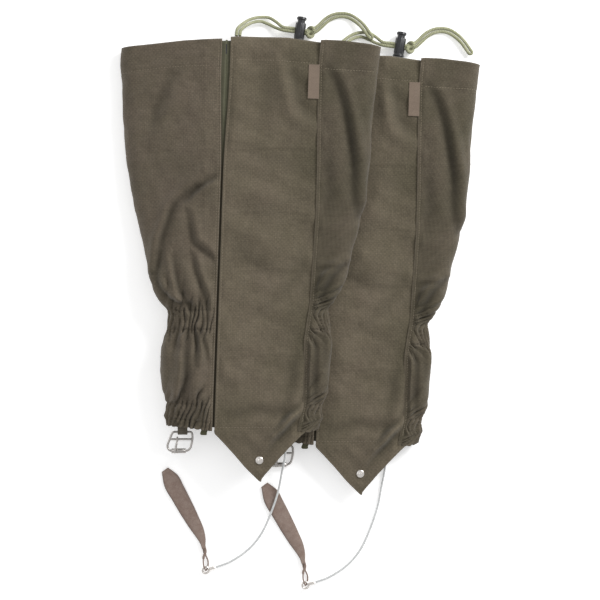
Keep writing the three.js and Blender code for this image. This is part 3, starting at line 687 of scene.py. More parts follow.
FRONT_FOLDS = [
    ([(41.2, 207), (48.7, 178.6), (54.2, 156.3), (66, 145)], 1.7, 7.5, -1),
    ([(8, 196), (14, 170), (10, 140)], 0.7, 11.0, 1),
    ([(-8, 118), (12, 106), (34, 104), (58, 92)], 0.9, 10.0, -1),
    ([(-18, 62), (-2, 50), (18, 47), (40, 56)], 0.9, 10.0, 1),
    ([(-20, 20), (-4, 2), (20, -12), (52, -14)], 0.9, 11.0, 1),
    ([(55, -10), (30, -38), (12, -52)], 1.0, 9.0, -1),
    ([(58, -86), (44, -112), (40, -140), (30, -158)], 1.3, 8.0, 1),
    ([(-24, -96), (-14, -110), (0, -116)], 0.8, 7.0, -1),
    ([(54, -160), (41, -174), (29, -188), (18, -204), (15, -214)], 3.3, 4.6, -1),
    ([(58, -140), (50, -152), (38, -160), (26, -176)], 2.8, 3.8, 1),
    ([(-24, -166), (4, -158), (26, -160), (40, -154)], 0.8, 6.0, 1),
    ([(-8, -188), (4, -198), (0, -208)], 0.7, 5.0, 1),
]


def fold_field(x, y, folds):
    """Height change and painted shade of a set of creases at the points (x, y)."""
    height = np.zeros_like(x)
    shade = np.zeros_like(x)
    for points, depth, width, crest_side in folds:
        path = curve_through([(a, b, 0) for a, b in points], 4.0)[:, :2]
        best = np.full(x.shape, 1e9)
        signed = np.zeros_like(x)
        share = np.zeros_like(x)
        for i in range(len(path) - 1):
            a, b = path[i], path[i + 1]
            d = b - a
            t = np.clip(((x - a[0]) * d[0] + (y - a[1]) * d[1]) / d.dot(d), 0, 1)
            px, py = x - (a[0] + t * d[0]), y - (a[1] + t * d[1])
            far = np.hypot(px, py)
            nearer = far < best
            best = np.where(nearer, far, best)
            signed = np.where(nearer, np.sign(d[0] * py - d[1] * px) * far, signed)
            share = np.where(nearer, (i + t) / (len(path) - 1), share)
        fade = np.sin(np.pi * np.clip(0.08 + 0.84 * share, 0, 1)) ** 0.7
        valley = bell(best, width)
        crest = bell(signed * crest_side - 1.6 * width, 1.15 * width)
        far_bank = bell(signed * crest_side + 2.4 * width, 1.9 * width)
        height += fade * depth * (1.35 * crest - 0.75 * valley + 0.5 * far_bank)
        darkness = np.clip(depth / 3.2, 0.15, 1.0)
        shade += fade * darkness * bell(signed * crest_side - 0.1 * width, 0.75 * width)
    return height, shade


PACKING_CREASES = ((111.5, 0.01, 0.45), (47.0, -0.02, 0.35), (-14.0, 0.015, 0.3), (-101.0, 0.03, 0.3))


def packing_creases(x, y):
    """Faint level creases left from storage, each a level, a slope and a depth."""
    total = np.zeros_like(x)
    for level, slope, depth in PACKING_CREASES:
        far = y - level - slope * x - 0.8 * np.sin(x / 17.0)
        total += depth * (bell(far - 1.4, 1.5) - bell(far + 0.6, 1.1))
    return total


def soft_noise(x, y, seed, wavelength, count=7):
    """A smooth random surface, from -1 to 1, made of a few crossing waves."""
    rng = np.random.default_rng(seed)
    total = np.zeros_like(x)
    for _ in range(count):
        angle = rng.uniform(0, math.pi)
        size = wavelength * rng.uniform(0.7, 1.5)
        phase = rng.uniform(0, 2 * math.pi)
        total += np.sin(2 * math.pi * (x * math.cos(angle) + y * math.sin(angle)) / size + phase)
    return total / math.sqrt(count) / 1.5


ANKLE_BAND = (-74.0, -52.0)
FOOT_BAND = (-176.0, -149.0)


def beyond(band, s):
    """Distance outside a band of heights, 0 inside it."""
    return np.maximum(0, np.maximum(band[0] - s, s - band[1]))


def pleats(phase):
    """Rounded crowns with sharp valleys between them, from 0 to 1."""
    return np.abs(np.sin(phase / 2)) ** 0.7


def gathers(a, s, seed):
    """Puckers that the two elastics draw in, with painted shade in their valleys and painted highlight on
    their tops: a is the distance round the leg, s the height.
    """
    height, shade, pale_mix = np.zeros_like(a), np.zeros_like(a), np.zeros_like(a)
    for band, lean, size in ((ANKLE_BAND, 0.1, 4.7), (FOOT_BAND, 0.3, 5.2)):
        gap = beyond(band, s)
        slid = a + lean * (s - sum(band) / 2) + 1.7 * soft_noise(a, 0.6 * s, seed + 1, 19)
        uneven = np.clip(0.9 + 0.5 * soft_noise(a, 0.5 * s, seed + 2, 15), 0.4, 1.4)
        inside = bell(gap, 3.4)
        beside = bell(gap - 6, 7) * (1 - 0.75 * inside)
        away = bell(gap - 15, 17) * (1 - 0.9 * inside)
        for scale, depth, weight, dark in ((1.0, 3.7, inside, 1.0), (2.0, 3.2, beside, 0.85),
                                           (4.0, 3.0, away, 0.5)):
            wobble = 1.1 * soft_noise(a, 0.7 * s, seed + int(3 * scale), 14 * scale)
            crown = pleats(2 * math.pi * slid / (size * scale) + wobble)
            height += depth * weight * uneven * (crown - 0.62)
            # painted shade in the pucker valleys
            shade += dark * weight * uneven * np.clip(1 - crown * 2.2, 0, 1)
            # painted highlight on the tops of the tightest puckers
            if scale == 1.0:
                pale_mix += inside * uneven * np.clip(crown - 0.75, 0, 1) * 2.4
        seed += 40
    return height, shade, pale_mix


def elastic_channels(s):
    """The stitched edges of each elastic, pressed in across the puckers."""
    lines = (ANKLE_BAND[0] + 1, ANKLE_BAND[1] - 1, FOOT_BAND[0] + 9, FOOT_BAND[1] - 1)
    return sum(bell(s - line, 1.05) for line in lines)


def clear_of_pair(side, x, y):
    """0 where the left gaiter lies on the right one, 1 elsewhere."""
    if side == "left":
        return np.ones_like(x)
    dx, dy = (PAIR_SHIFT["right"][k] - PAIR_SHIFT["left"][k] for k in (0, 1))
    edge = table(RIGHT_EDGE, y + dy) - dx
    return smooth(edge - 1, edge + 14, x)


def band_weight(s, band, soft):
    return bell(beyond(band, s), soft)


def orient_up(obj):
    """Turns every face of an open sheet the same way, with the highest part facing up."""
    mesh = obj.data
    count = len(mesh.polygons)
    normals = np.empty(count * 3)
    centres = np.empty(count * 3)
    mesh.polygons.foreach_get("normal", normals)
    mesh.polygons.foreach_get("center", centres)
    normals, centres = normals.reshape(-1, 3), centres.reshape(-1, 3)
    high = centres[:, 2] > np.percentile(centres[:, 2], 80)
    if high.any() and normals[high, 2].mean() < 0:
        mesh.flip_normals()


def thicken(obj, thickness):
    modifier = obj.modifiers.new("thickness", "SOLIDIFY")
    modifier.thickness, modifier.offset = thickness * MM, -1.0
    modifier.use_even_offset = False
    modifier.use_rim = True


def open_sheet(side, name, grid, material, across, along, thickness):
    """A cloth from a grid of points in one gaiter's frame; across and along place it on the flat cloth."""
    rows, columns = grid.shape[:2]
    verts = to_world(side, grid.reshape(-1, 3))
    obj = mesh_object(f"{side}_{name}", verts, grid_faces(rows, columns), material)
    orient_up(obj)
    flat = np.stack([np.ravel(across), np.ravel(along), np.zeros(rows * columns)], axis=1)
    vector_attribute(obj, "cloth", flat)
    thicken(obj, thickness)
    return obj


def paint_shade_and_wear(cloth, **values):
    """What the cloth material reads at each point, from 0 to 1: fold is painted shade, tone is painted shade
    with some random tone, edge is edges paled by use plus painted highlight on the pucker tops.
    """
    for name, value in values.items():
        number_attribute(cloth, name, np.clip(value, 0, 1).ravel())


def flat_area(widths, heights):
    return float(((widths[1:] + widths[:-1]) / 2 * np.diff(heights)).sum()) * MM


# ---------------------------------------------------------------- the wrapped calf and side panel
ROWS = 290
TURN = 16.0


def cloth_rows():
    """Heights of the cloth's rows, closer together where the elastics pucker it."""
    s = np.linspace(FOOT_Y, TOP_Y, 2000)
    dense = 1 + 1.4 * sum(bell(beyond(b, s), 14) for b in (ANKLE_BAND, FOOT_BAND))
    run = np.concatenate([[0], np.cumsum((dense[1:] + dense[:-1]) / 2)])
    return np.interp(np.linspace(0, run[-1], ROWS), run, s)


# a section's points: the top from the zip, two quarter turns, the back, two quarter turns, the side panel
N_TOP, N_TURN, N_BACK, N_SIDE = 90, 16, 44, 70
REGION_ENDS = np.cumsum([N_TOP, N_TURN, N_TURN, N_BACK, N_TURN, N_TURN, N_SIDE])
WAIST, UNDERSIDE = 6.0, 0.35  # heights of the section's widest place and of its back
LOW_TURN = 8.0


def panel_section(s):
    """x and z of the outer skin at nominal height s, from the zip round the leg to the side seam."""
    left, right = table(LEFT_EDGE, s), table(RIGHT_EDGE, s)
    start = zip_x(s) - open_half(s) - 0.4
    end = seam_x(s) - 1.6
    turn_left = min(TURN, 0.4 * (start - left))
    turn_right = min(TURN, 0.6 * (right - end))
    above, below = THICKNESS - WAIST, WAIST - UNDERSIDE
    xs = [np.linspace(start, left + turn_left, N_TOP, endpoint=False)]
    zs = [np.full(N_TOP, THICKNESS)]

    def quarter(centre, radius, first, last, depth):
        t = np.linspace(first, last, N_TURN, endpoint=False)
        xs.append(centre + radius * np.cos(t))
        zs.append(WAIST + depth * np.sin(t))
    quarter(left + turn_left, turn_left, math.pi / 2, math.pi, above)
    quarter(left + LOW_TURN, LOW_TURN, math.pi, 1.5 * math.pi, below)
    xs.append(np.linspace(left + LOW_TURN, right - LOW_TURN, N_BACK, endpoint=False))
    zs.append(np.full(N_BACK, UNDERSIDE))
    quarter(right - LOW_TURN, LOW_TURN, -math.pi / 2, 0, below)
    quarter(right - turn_right, turn_right, 0, math.pi / 2, above)
    xs.append(np.linspace(right - turn_right, end, N_SIDE))
    zs.append(np.full(N_SIDE, THICKNESS))
    return np.concatenate(xs), np.concatenate(zs)


def grid_normals(p):
    du = np.gradient(p, axis=1)
    dv = np.gradient(p, axis=0)
    n = np.cross(du, dv)
    return n / np.maximum(np.linalg.norm(n, axis=2, keepdims=True), 1e-9)


class Calf:
    """The grid of the calf and side panel: rows of heights s by columns round the leg."""

    def __init__(self, side):
        self.nominal = cloth_rows()
        sections = [panel_section(s) for s in self.nominal]
        self.x = x = np.array([q[0] for q in sections])
        self.z = np.array([q[1] for q in sections])
        self.s = s = np.repeat(self.nominal[:, None], x.shape[1], axis=1)
        columns = np.arange(x.shape[1])
        self.is_calf = columns < REGION_ENDS[1]
        self.is_side = columns >= REGION_ENDS[4]
        self.is_back = ~self.is_calf & ~self.is_side
        self.top = self.by_region(CALF_TOP, SIDE_TOP, BACK_TOP)
        self.foot = self.by_region(CALF_FOOT, SIDE_FOOT, BACK_FOOT)
        self.y = s + (self.top - TOP_Y) * smooth(TOP_EASE, TOP_Y, s)
        self.y = self.y + (self.foot - FOOT_Y) * smooth(FOOT_EASE, FOOT_Y, s)
        step = np.hypot(np.diff(x, axis=1), np.diff(self.z, axis=1))
        self.arc = np.concatenate([np.zeros((ROWS, 1)), np.cumsum(step, axis=1)], axis=1)
        self.off_zip = zip_x(s) - open_half(s) - x  # distance from the zip's edge
        self.off_seam = x - seam_x(s)
        self.covered = clear_of_pair(side, x, self.y)
        self.pinch = band_weight(s, ANKLE_BAND, 10) + band_weight(s, FOOT_BAND, 9)
        self.near = smooth(0.5, 7, self.off_zip) * self.is_calf + smooth(0.5, 7, self.off_seam) * self.is_side

    def by_region(self, calf, side_panel, back):
        """One of three edge lines read at x, by the panel that each column belongs to."""
        return np.where(self.is_calf, table(calf, self.x),
                        np.where(self.is_side, table(side_panel, self.x), table(back, self.x)))

    def draw_in(self):
        """The tube is drawn in at the elastics and swells between them, away from the zip and the seam."""
        from_zip = smooth(3, 24, self.off_zip) * self.is_calf
        from_seam = smooth(4, 16, self.off_seam) * self.is_side
        loose = (from_zip + from_seam) * smooth(6, 17, self.z)
        swell = bell(self.s + 112, 24) + 0.75 * bell(self.s + 30, 15)
        self.z = self.z + loose * (4.4 * swell * (0.2 + 0.8 * self.covered) - 3.6 * self.pinch)

    def skin_normals(self, p):
        normal = grid_normals(p)
        if normal[ROWS // 2, N_TOP // 2, 2] < 0:
            normal = -normal
        for _ in range(6):
            normal[:, 1:-1] = (normal[:, :-2] + 2 * normal[:, 1:-1] + normal[:, 2:]) / 4
            normal[1:-1] = (normal[:-2] + 2 * normal[1:-1] + normal[2:]) / 4
        return normal / np.linalg.norm(normal, axis=2, keepdims=True)

    def relief(self):
        """How far each point is pushed out of the plain skin, its painted shade, and the painted highlight on
        its pucker tops.
        """
        x, y, s, near = self.x, self.y, self.s, self.near
        is_calf, is_side, is_back = self.is_calf, self.is_side, self.is_back
        gather, gather_shade, crowns = gathers(self.arc, s, 11)
        calf_h, calf_s = fold_field(x, y, CALF_FOLDS)
        side_h, side_s = fold_field(x, y, SIDE_FOLDS)
        creases = packing_creases(x, y)
        roll = 1.3 * soft_noise(x, y, 5, 58) + 0.6 * soft_noise(x, y, 6, 24) + creases
        hem = smooth(190, 200, s)
        folds = (calf_h * is_calf + side_h * is_side) * (1 - 0.8 * hem)
        broad = roll * (is_calf | is_side) * (1 - 0.7 * hem)
        push = near * (gather + folds + 0.8 * broad)
        push += is_back * (0.8 * gather - 0.5 * self.pinch + 0.5 * soft_noise(self.arc, y, 8, 45) + creases)
        push *= np.where(is_back, 1.0, 0.35 + 0.65 * self.covered)
        push = np.where(is_back, np.clip(push, -1.9, 0.15), push)
        # a slack bow in the hem's lip, and a pressed channel along each line of stitching
        push += 0.2 * np.sin(s / 31.0) * near * (is_side | is_calf)
        push -= 0.45 * bell(y - stitch_hem(x, is_calf, is_side), 0.9)
        push -= 0.8 * elastic_channels(s) * near
        push -= 0.35 * bell(self.off_zip - 3.4, 0.8) * is_calf
        push -= 0.35 * bell(self.off_seam - 1.8, 0.8) * is_side
        push -= 0.5 * np.clip(push, 0, None) * smooth(14, 6, self.z) * ~is_back
        push += 0.35 * (bell(y - self.top, 1.6) + bell(y - self.foot, 1.6)) * (is_calf | is_side)
        shade = (gather_shade + calf_s * is_calf + side_s * is_side) * np.clip(near + 0.2, 0, 1)
        return push, np.clip(shade, 0, 1), crowns * near

    def worn_edges(self):
        edge = bell(self.top - self.y, 1.6) + bell(self.y - self.foot, 1.6)
        edge += bell(self.off_zip, 1.2) * self.is_calf
        edge += bell(self.off_seam + 1.6, 1.2) * self.is_side
        for outline in (LEFT_EDGE, RIGHT_EDGE):
            edge += 0.7 * bell(self.x - table(outline, self.s), 2.2)
        return edge

    def tone(self):
        """Painted shade: the side panel is darker all over, and the calf a little at the elastics; both also
        get a random tone.
        """
        tone = self.is_side * (0.8 + 0.25 * soft_noise(self.x, self.y, 31, 70))
        tone += self.is_calf * 0.28 * soft_noise(self.x, self.y, 32, 90)
        return np.clip(tone + 0.35 * self.is_calf * self.pinch * self.near, 0, 1)


def calf_cloth(side):
    grid = Calf(side)
    grid.draw_in()
    push, shade, crowns = grid.relief()
    p = np.stack([grid.x, grid.y, grid.z], axis=2)
    p = p + grid.skin_normals(p) * push[:, :, None]
    ruffle = bell(grid.y - grid.foot, 7) * (grid.is_calf | grid.is_side)
    p[:, :, 1] -= 1.5 * ruffle * grid.near * (pleats(2 * math.pi * grid.arc / 6.2) - 0.5)
    # the side panel's seam edge stands on the front panel
    p[:, :, 2] += grid.is_side * 1.1 * bell(np.maximum(0, grid.off_seam), 7)
    p[:, :, 2] = np.maximum(p[:, :, 2], 0.2)
    cloth = open_sheet(side, "calf_cloth", p, M["calf"], grid.arc, grid.y, 1.0)
    # fold and tone are painted shade (tone with some random tone); edge is edges paled by use plus the
    # painted highlight on the pucker tops
    paint_shade_and_wear(cloth, fold=shade, tone=grid.tone(), edge=grid.worn_edges() + crowns)
    finish_piece(cloth, f"{side}_gaiter", "calf_fabric", f"{side}_calf_panel")
    widths = grid.arc[:, -1] * MM
    return cloth, (float(widths.max()), (TOP_Y - FOOT_Y) * MM), flat_area(widths, grid.nominal)


def stitch_hem(x, is_calf, is_side):
    calf = table([(-136, 193.8), (-105, 196.4), (-78, 198.4), (-34, 199)], x)
    side_line = table([(75, 195.8), (89, 194.4), (132, 192.4)], x)
    return np.where(is_calf, calf, np.where(is_side, side_line, 196.0))


# ---------------------------------------------------------------- the front panel and its point
POINT_Y = -176.0  # below this height the front panel is the instep point
POINT_TIP_Y = -229.2
FRONT_COLUMNS = 84


def front_cloth(side):
    """The front panel and the instep point under it, as one cloth."""
    nominal = np.concatenate([np.linspace(POINT_TIP_Y, POINT_Y, 56, endpoint=False),
                              np.linspace(POINT_Y, TOP_Y, 200)])
    columns = FRONT_COLUMNS
    u = np.linspace(0, 1, columns)[None, :]
    on_point = nominal < POINT_Y
    start = np.where(on_point, table(POINT_LEFT, nominal), zip_x(nominal) + open_half(nominal))
    end = np.where(on_point, table(POINT_RIGHT, nominal), seam_x(nominal) + 5.0)
    ease_in = smooth(POINT_Y, POINT_Y + 8, nominal)
    end = np.where(on_point, end, table(POINT_RIGHT, -177.4) * (1 - ease_in) + end * ease_in)
    x = start[:, None] + (end - start)[:, None] * u
    s = np.repeat(nominal[:, None], columns, axis=1)
    y = leaned(FRONT_TOP, x, s)
    height, shade = fold_field(x, y, FRONT_FOLDS)
    roll = 1.3 * soft_noise(x, y, 21, 62) + 0.65 * soft_noise(x, y, 22, 25) + packing_creases(x, y)
    free = smooth(0.5, 9, x - start[:, None]) * smooth(-2, 12, seam_x(np.maximum(s, -175)) + 3 - x)
    below = smooth(POINT_Y, POINT_Y - 20, s)
    free = np.where(s < POINT_Y, np.maximum(free, 0.5) * (1 - 0.5 * below), free)
    rivet = bell(np.hypot(x - RIVET[0], y - RIVET[1]), 9)
    open_sky = clear_of_pair(side, x, y)
    wave = free * (1.5 * height + 1.25 * roll) * (1 - 0.85 * rivet)
    z = THICKNESS + np.where(wave > 0, wave * (0.25 + 0.75 * open_sky), wave)
    hem_line = table([(-16, 205.2), (28, 203.7), (54, 201.7), (75, 200.5)], x)
    z -= 0.45 * bell(y - hem_line, 0.9)
    z -= 0.35 * bell(x - start[:, None] - 2.2, 0.8) * (s > POINT_Y)
    z -= 0.4 * bell(y + 173.6, 0.9) * smooth(44, 36, x)
    z -= 1.2 * smooth(-1.0, 1.5, x - seam_x(s)) * (s > -172)
    z -= 1.6 * bell(s + 229, 7)
    z -= 0.5 * rivet
    edge = bell(table(FRONT_TOP, x) - y, 1.6) + bell(x - start[:, None], 1.2)
    edge += bell(end[:, None] - x, 1.2) * (s < POINT_Y)
    # tone: painted shade beside the seam low on the front, darker towards the top, and a random tone
    tone = 0.25 + 0.22 * soft_noise(x, y, 33, 95) + 0.4 * smooth(20, 64, x) * smooth(POINT_Y, -120, s)
    tone += 0.2 * smooth(40, 190, s)
    cloth = open_sheet(side, "front_cloth", np.stack([x, y, z], axis=2), M["front"], x + 200, y, 1.0)
    # fold is painted shade in the creases; tone as above; edge is edges paled by use
    paint_shade_and_wear(cloth, fold=shade * np.clip(free, 0, 1), tone=tone, edge=edge)
    hinge = to_world(side, [(10.4, HINGE_Y + 3, 18), (10.4, HINGE_Y - 5, 18)])
    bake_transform(cloth)
    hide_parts(f"{side}_front_panel", f"{side}_instep_point")
    widths = (end - start) * MM
    height = float(nominal[-1] - nominal[0]) * MM
    return cloth, (float(widths.max()), height), flat_area(widths, nominal)


# ---------------------------------------------------------------- stitching
def drop_on(objects, side, points, below=False):
    """The height and normal of the cloth's outer face at each (x, y) of one gaiter, above or below."""
    hits = []
    trees = [BVHTree.FromPolygons([v.co for v in o.data.vertices], [p.vertices for p in o.data.polygons])
             for o in objects]
    for x, y in points:
        w = to_world(side, [(x, y, 0)], lift=False)[0]
        best = None
        for tree in trees:
            start, way = (-0.2, 1) if below else (0.2, -1)
            place, normal, _, _ = tree.ray_cast(Vector((w[0], w[1], start)), Vector((0, 0, way)))
            if place is not None and (best is None or place.z > best[0].z):
                best = (place, normal)
        if best:
            hits.append(best)
    return hits


# one stitch: share of its length, of its width and its height, then across it the share and the lift
STITCH_LENGTHWAYS = ((-1.0, 0.35, 0.02), (-0.6, 1.0, 0.22), (0.6, 1.0, 0.22), (1.0, 0.35, 0.02))
STITCH_ACROSS = ((-1, 0.0), (-0.6, 1.0), (0.6, 1.0), (1, 0.0))


def stitch_line(side, cloths, corners, pitch=2.9, stitch=2.0, width=0.5, below=False):
    """Vertices and faces of a row of stitches laid along a line of (x, y) corners."""
    path = curve_through([(x, y, 0) for x, y in corners], pitch)[:, :2]
    hits = drop_on(cloths, side, path, below)
    verts, faces = [], []
    for (place, normal), (after, _) in zip(hits, hits[1:]):
        way = after - place
        if way.length < 1e-5 or way.length > 2 * pitch * MM:
            continue
        way.normalize()
        if (normal.z < 0) != below:
            normal = -normal
        across = normal.cross(way).normalized()
        base = len(verts)
        half, w = stitch * MM / 2, width * MM / 2
        centre = place + way * (pitch * MM / 2)
        for along_way, wide, high in STITCH_LENGTHWAYS:
            for side_sign, lift in STITCH_ACROSS:
                point = centre + way * (along_way * half) + across * (side_sign * wide * w)
                verts.append(point + normal * ((high * lift + 0.02 - 0.12 * (1 - lift)) * MM))
        for i in range(3):
            for j in range(3):
                a = base + 4 * i + j
                faces.append((a, a + 1, a + 5, a + 4))
    return verts, faces


def make_stitches(side, name, body, cloths, lines, material, slot_name):
    verts, faces = [], []
    for line in lines:
        v, f = stitch_line(side, cloths, *line)
        faces += [tuple(i + len(verts) for i in face) for face in f]
        verts += v
    obj = mesh_object(f"{side}_{name}", verts, faces, material)
    orient_up(obj)
    coordinates_as_cloth(obj)
    return finish_piece(obj, body, slot_name)


BACK_HEM = 196
BACK_ELASTIC_LINES = (-74, -63, -52, -167, -151)


def beside_zip(offset, low, high):
    """A line along the zip, offset mm outside its open edge; left of the zip when negative."""
    rows = np.linspace(low, high, 14)
    return [(float(zip_x(y) + math.copysign(open_half(y), offset) + offset), float(y)) for y in rows]


def all_stitches(side, calf, front):
    """Rows of stitches on the calf cloth and on the front cloth, listed by the sheet they lie on."""
    seam = [(float(seam_x(y) + 1.8), float(y)) for y in np.linspace(-168, 221, 20)]
    calf_hem = [(-133, 193.9), (-105, 196.4), (-78, 198.4), (-40, 199)]
    side_hem = [(77, 195.6), (89, 194.4), (129, 192.6)]
    front_hem = [(-14, 205.2), (28, 203.7), (54, 201.7), (69, 200.8)]
    foot_hem = [(-34, -173.6), (0, -173.4), (37, -173.8)]
    back = [[(-124, BACK_HEM), (0, BACK_HEM), (124, BACK_HEM)]]
    back += [[(-76, level), (0, level), (70, level)] for level in BACK_ELASTIC_LINES]
    rows = [
        ("calf_stitching", calf, [(calf_hem,), (side_hem,), (beside_zip(-3.4, -170, 221),),
                                  (beside_zip(-1.2, -170, 221),)], "thread"),
        ("seam_stitching", calf, [(seam, 2.6, 1.8, 0.5)], "dark_thread"),
        ("back_stitching", calf, [(line, 2.9, 2.0, 0.5, True) for line in back], "thread"),
        ("front_stitching", front, [(front_hem,), (beside_zip(2.2, -172, 224),), (foot_hem,)], "thread"),
    ]
    made = {calf: [], front: []}
    for name, cloth, lines, thread in rows:
        fabric = "calf_fabric" if cloth is calf else "front_fabric"
        made[cloth].append(make_stitches(side, name, f"{side}_gaiter", [cloth], lines, M[thread], fabric))
    return made[calf], made[front]


# ---------------------------------------------------------------- inner pieces and trims
INNER_RADIUS = 9.0


def inner_run(s, first, last, inset, counts, turn_steps):
    """x and z of a line just inside the tube's skin: from first, round the left edge, the back and
    the right edge, to last."""
    left, right = table(LEFT_EDGE, s) + INNER_RADIUS, table(RIGHT_EDGE, s) - INNER_RADIUS
    r = INNER_RADIUS - inset
    turn = np.linspace(math.pi / 2, 1.5 * math.pi, turn_steps)[1:-1]
    near, back, far = counts
    xs = np.concatenate([np.linspace(first, left, near), left + r * np.cos(turn),
                         np.linspace(left, right, back), right - r * np.cos(turn[::-1]),
                         np.linspace(right, last, far)])
    zs = np.concatenate([np.full(near, INNER_RADIUS + r), INNER_RADIUS + r * np.sin(turn),
                         np.full(back, INNER_RADIUS - r), INNER_RADIUS + r * np.sin(turn[::-1]),
                         np.full(far, INNER_RADIUS + r)])
    return xs, zs


def band(side, name, rows, inset, drop_by, material, slot_name, node, ripple=0.0, last_from_zip=None):
    """A flat strip that follows the inside of the leg tube, at a depth inside its skin."""
    nominal = np.linspace(rows[0], rows[1], 12)
    verts = []
    for s in nominal:
        last = seam_x(s) + 4 if last_from_zip is None else zip_x(s) + last_from_zip
        xs, zs = inner_run(s, zip_x(s) - 9.6, last, inset, (40, 60, 40), 14)
        on_top = zs > INNER_RADIUS
        drop = drop_by * on_top * smooth(0, 14, zip_x(s) - 12 - xs)
        drop += drop_by * on_top * smooth(0, 10, xs - seam_x(s) - 3)
        wave = ripple * np.sin(np.arange(len(xs)) * 0.9)
        verts.append(np.stack([xs, leaned(BACK_TOP, xs, s), zs - drop + wave * on_top], axis=1))
    grid = np.array(verts)
    arc = np.cumsum(np.hypot(np.gradient(grid[0, :, 0]), np.gradient(grid[0, :, 2])))
    across = np.tile(arc, len(nominal))
    obj = open_sheet(side, name, grid, material, across, grid[:, :, 1], 0.7)
    finish_piece(obj, f"{side}_gaiter", slot_name, f"{side}_{node}")


def hidden_cord(side):
    """The drawcord inside the hem, a round braid in its channel."""
    s = 210.5
    xs, zs = inner_run(s, zip_x(s) - 9.6, zip_x(s) + 16, 3.5, (20, 40, 26), 12)
    ys = leaned(BACK_TOP, xs, s)
    path = curve_through(to_world(side, np.stack([xs, ys, zs], axis=1)), 0.0015)
    obj = sweep(f"{side}_hem_cord", path, ring_section(1.4 * MM, 12), M["cord"])
    finish_piece(obj, f"{side}_gaiter", "drawcord", f"{side}_drawcord_in_hem")


def flat_piece(side, name, outline, z, thickness, material, slot_name, body, *nodes, round_by=0.4):
    """A flat cloth or leather piece with a rounded rim, from its outline in one gaiter's frame."""
    bm = bmesh.new()
    low = [bm.verts.new(v) for v in to_world(side, [(x, y, z) for x, y in outline])]
    bm.faces.new(low)
    bmesh.ops.triangulate(bm, faces=bm.faces)
    bmesh.ops.subdivide_edges(bm, edges=bm.edges, cuts=3, use_grid_fill=True)
    ext = bmesh.ops.extrude_face_region(bm, geom=list(bm.faces))
    up = [v for v in ext["geom"] if isinstance(v, bmesh.types.BMVert)]
    bmesh.ops.translate(bm, vec=(0, 0, thickness * MM), verts=up)
    bmesh.ops.recalc_face_normals(bm, faces=bm.faces)
    mesh = bpy.data.meshes.new(f"{side}_{name}")
    bm.to_mesh(mesh)
    bm.free()
    mesh.materials.append(material)
    obj = put_in_scene(f"{side}_{name}", mesh)
    coordinates_as_cloth(obj)
    number_attribute(obj, "edge", np.zeros(len(mesh.vertices)))
    bevel(obj, round_by * MM, 3)
    finish_piece(obj, body, slot_name, *nodes)
    return obj


# half of the zip tape: distances from its middle, and how far it swells there over the coil
TAPE_ACROSS = np.array([0.15, 0.8, 1.5, 2.4, 3.4, 4.6, 6.2, 8.0])
TAPE_SWELL = np.array([0.0, 0.4, 0.5, 0.15, 0.0, 0.0, 0.0, 0.0])


def zip_parts(side):
    body = f"{side}_gaiter"
    ys = np.linspace(-173, 223, 120)
    for sign, name in ((-1, "calf"), (1, "front")):
        rows = []
        for y in ys:
            x = zip_x(y) + sign * TAPE_ACROSS
            rows.append(np.stack([x, leaned(CALF_TOP, x, y), 16.0 + TAPE_SWELL], axis=1))
        grid = np.array(rows)
        obj = open_sheet(side, f"tape_{name}", grid, M["tape"], grid[:, :, 0], grid[:, :, 1], 0.6)
        finish_piece(obj, body, "zip_tape", f"{side}_zip_tape_{name}")
    ys = np.linspace(-170, 224, 330)
    path = np.stack([zip_x(ys), ys + 1.5 * smooth(TOP_EASE, TOP_Y, ys), np.full(ys.size, 15.3)], axis=1)
    path = to_world(side, path)

    def tooth(i):
        return ring_section((1.05 + 0.16 * math.cos(i * math.pi)) * MM, 10, 0.85)
    coil = sweep(f"{side}_coil", path, tooth, M["coil"])
    coordinates_as_cloth(coil)
    finish_piece(coil, body, "zip_coil", f"{side}_zip_coil")


def trims(side):
    body = f"{side}_gaiter"
    band(side, "hem_lining", (203, 220), 5.7, 0.0, M["lining"], "lining", "hem_facing", last_from_zip=9)
    band(side, "ankle_band", (-73, -53), 3.3, 3.2, M["elastic"], "elastic", "ankle_elastic", 0.25)
    band(side, "foot_band", (-167, -151), 3.3, 3.2, M["elastic"], "elastic", "foot_elastic", 0.25)
    hidden_cord(side)
    flat_piece(side, "seam_label", [(59.9, 164.6), (71.2, 164.2), (72.3, 199.3), (61, 199.7)], 19.0, 0.7,
               M["label"], "label", body, f"{side}_label", round_by=0.25)
    facing = [(-27, -182.5), (-14, -196.5), (-3.4, -209), (7, -220.4), (10.4, -222.6), (14, -219), (27, -204),
              (39, -191.5), (46, -184), (46, -178.4), (-27, -178.4)]
    flat_piece(side, "point_lining", facing, 15.1, 0.7, M["lining"], "lining", f"{side}_point",
               f"{side}_point_facing", round_by=0.2)
    tab = [(-36.4, -158.4), (-41.0, -160.4), (-50.9, -178.8), (-51.2, -181), (-50, -182), (-45, -182),
           (-44.1, -181), (-44.2, -179), (-35.2, -162.4), (-34.8, -159.4)]
    flat_piece(side, "pull_tab", tab, 10.1, 1.2, M["pull"], "zip_tape", f"{side}_slider",
               f"{side}_zip_pull", round_by=0.4)


# ---------------------------------------------------------------- hardware
BUCKLE_X, BUCKLE_Z = -70.2, 3.1


def firm(side, points, at_x):
    """Points of a stiff piece, lifted as a whole by the ramp at one x."""
    p = to_world(side, points, lift=False)
    p[:, 2] += float(ramp_height(side, at_x)) * MM
    return p


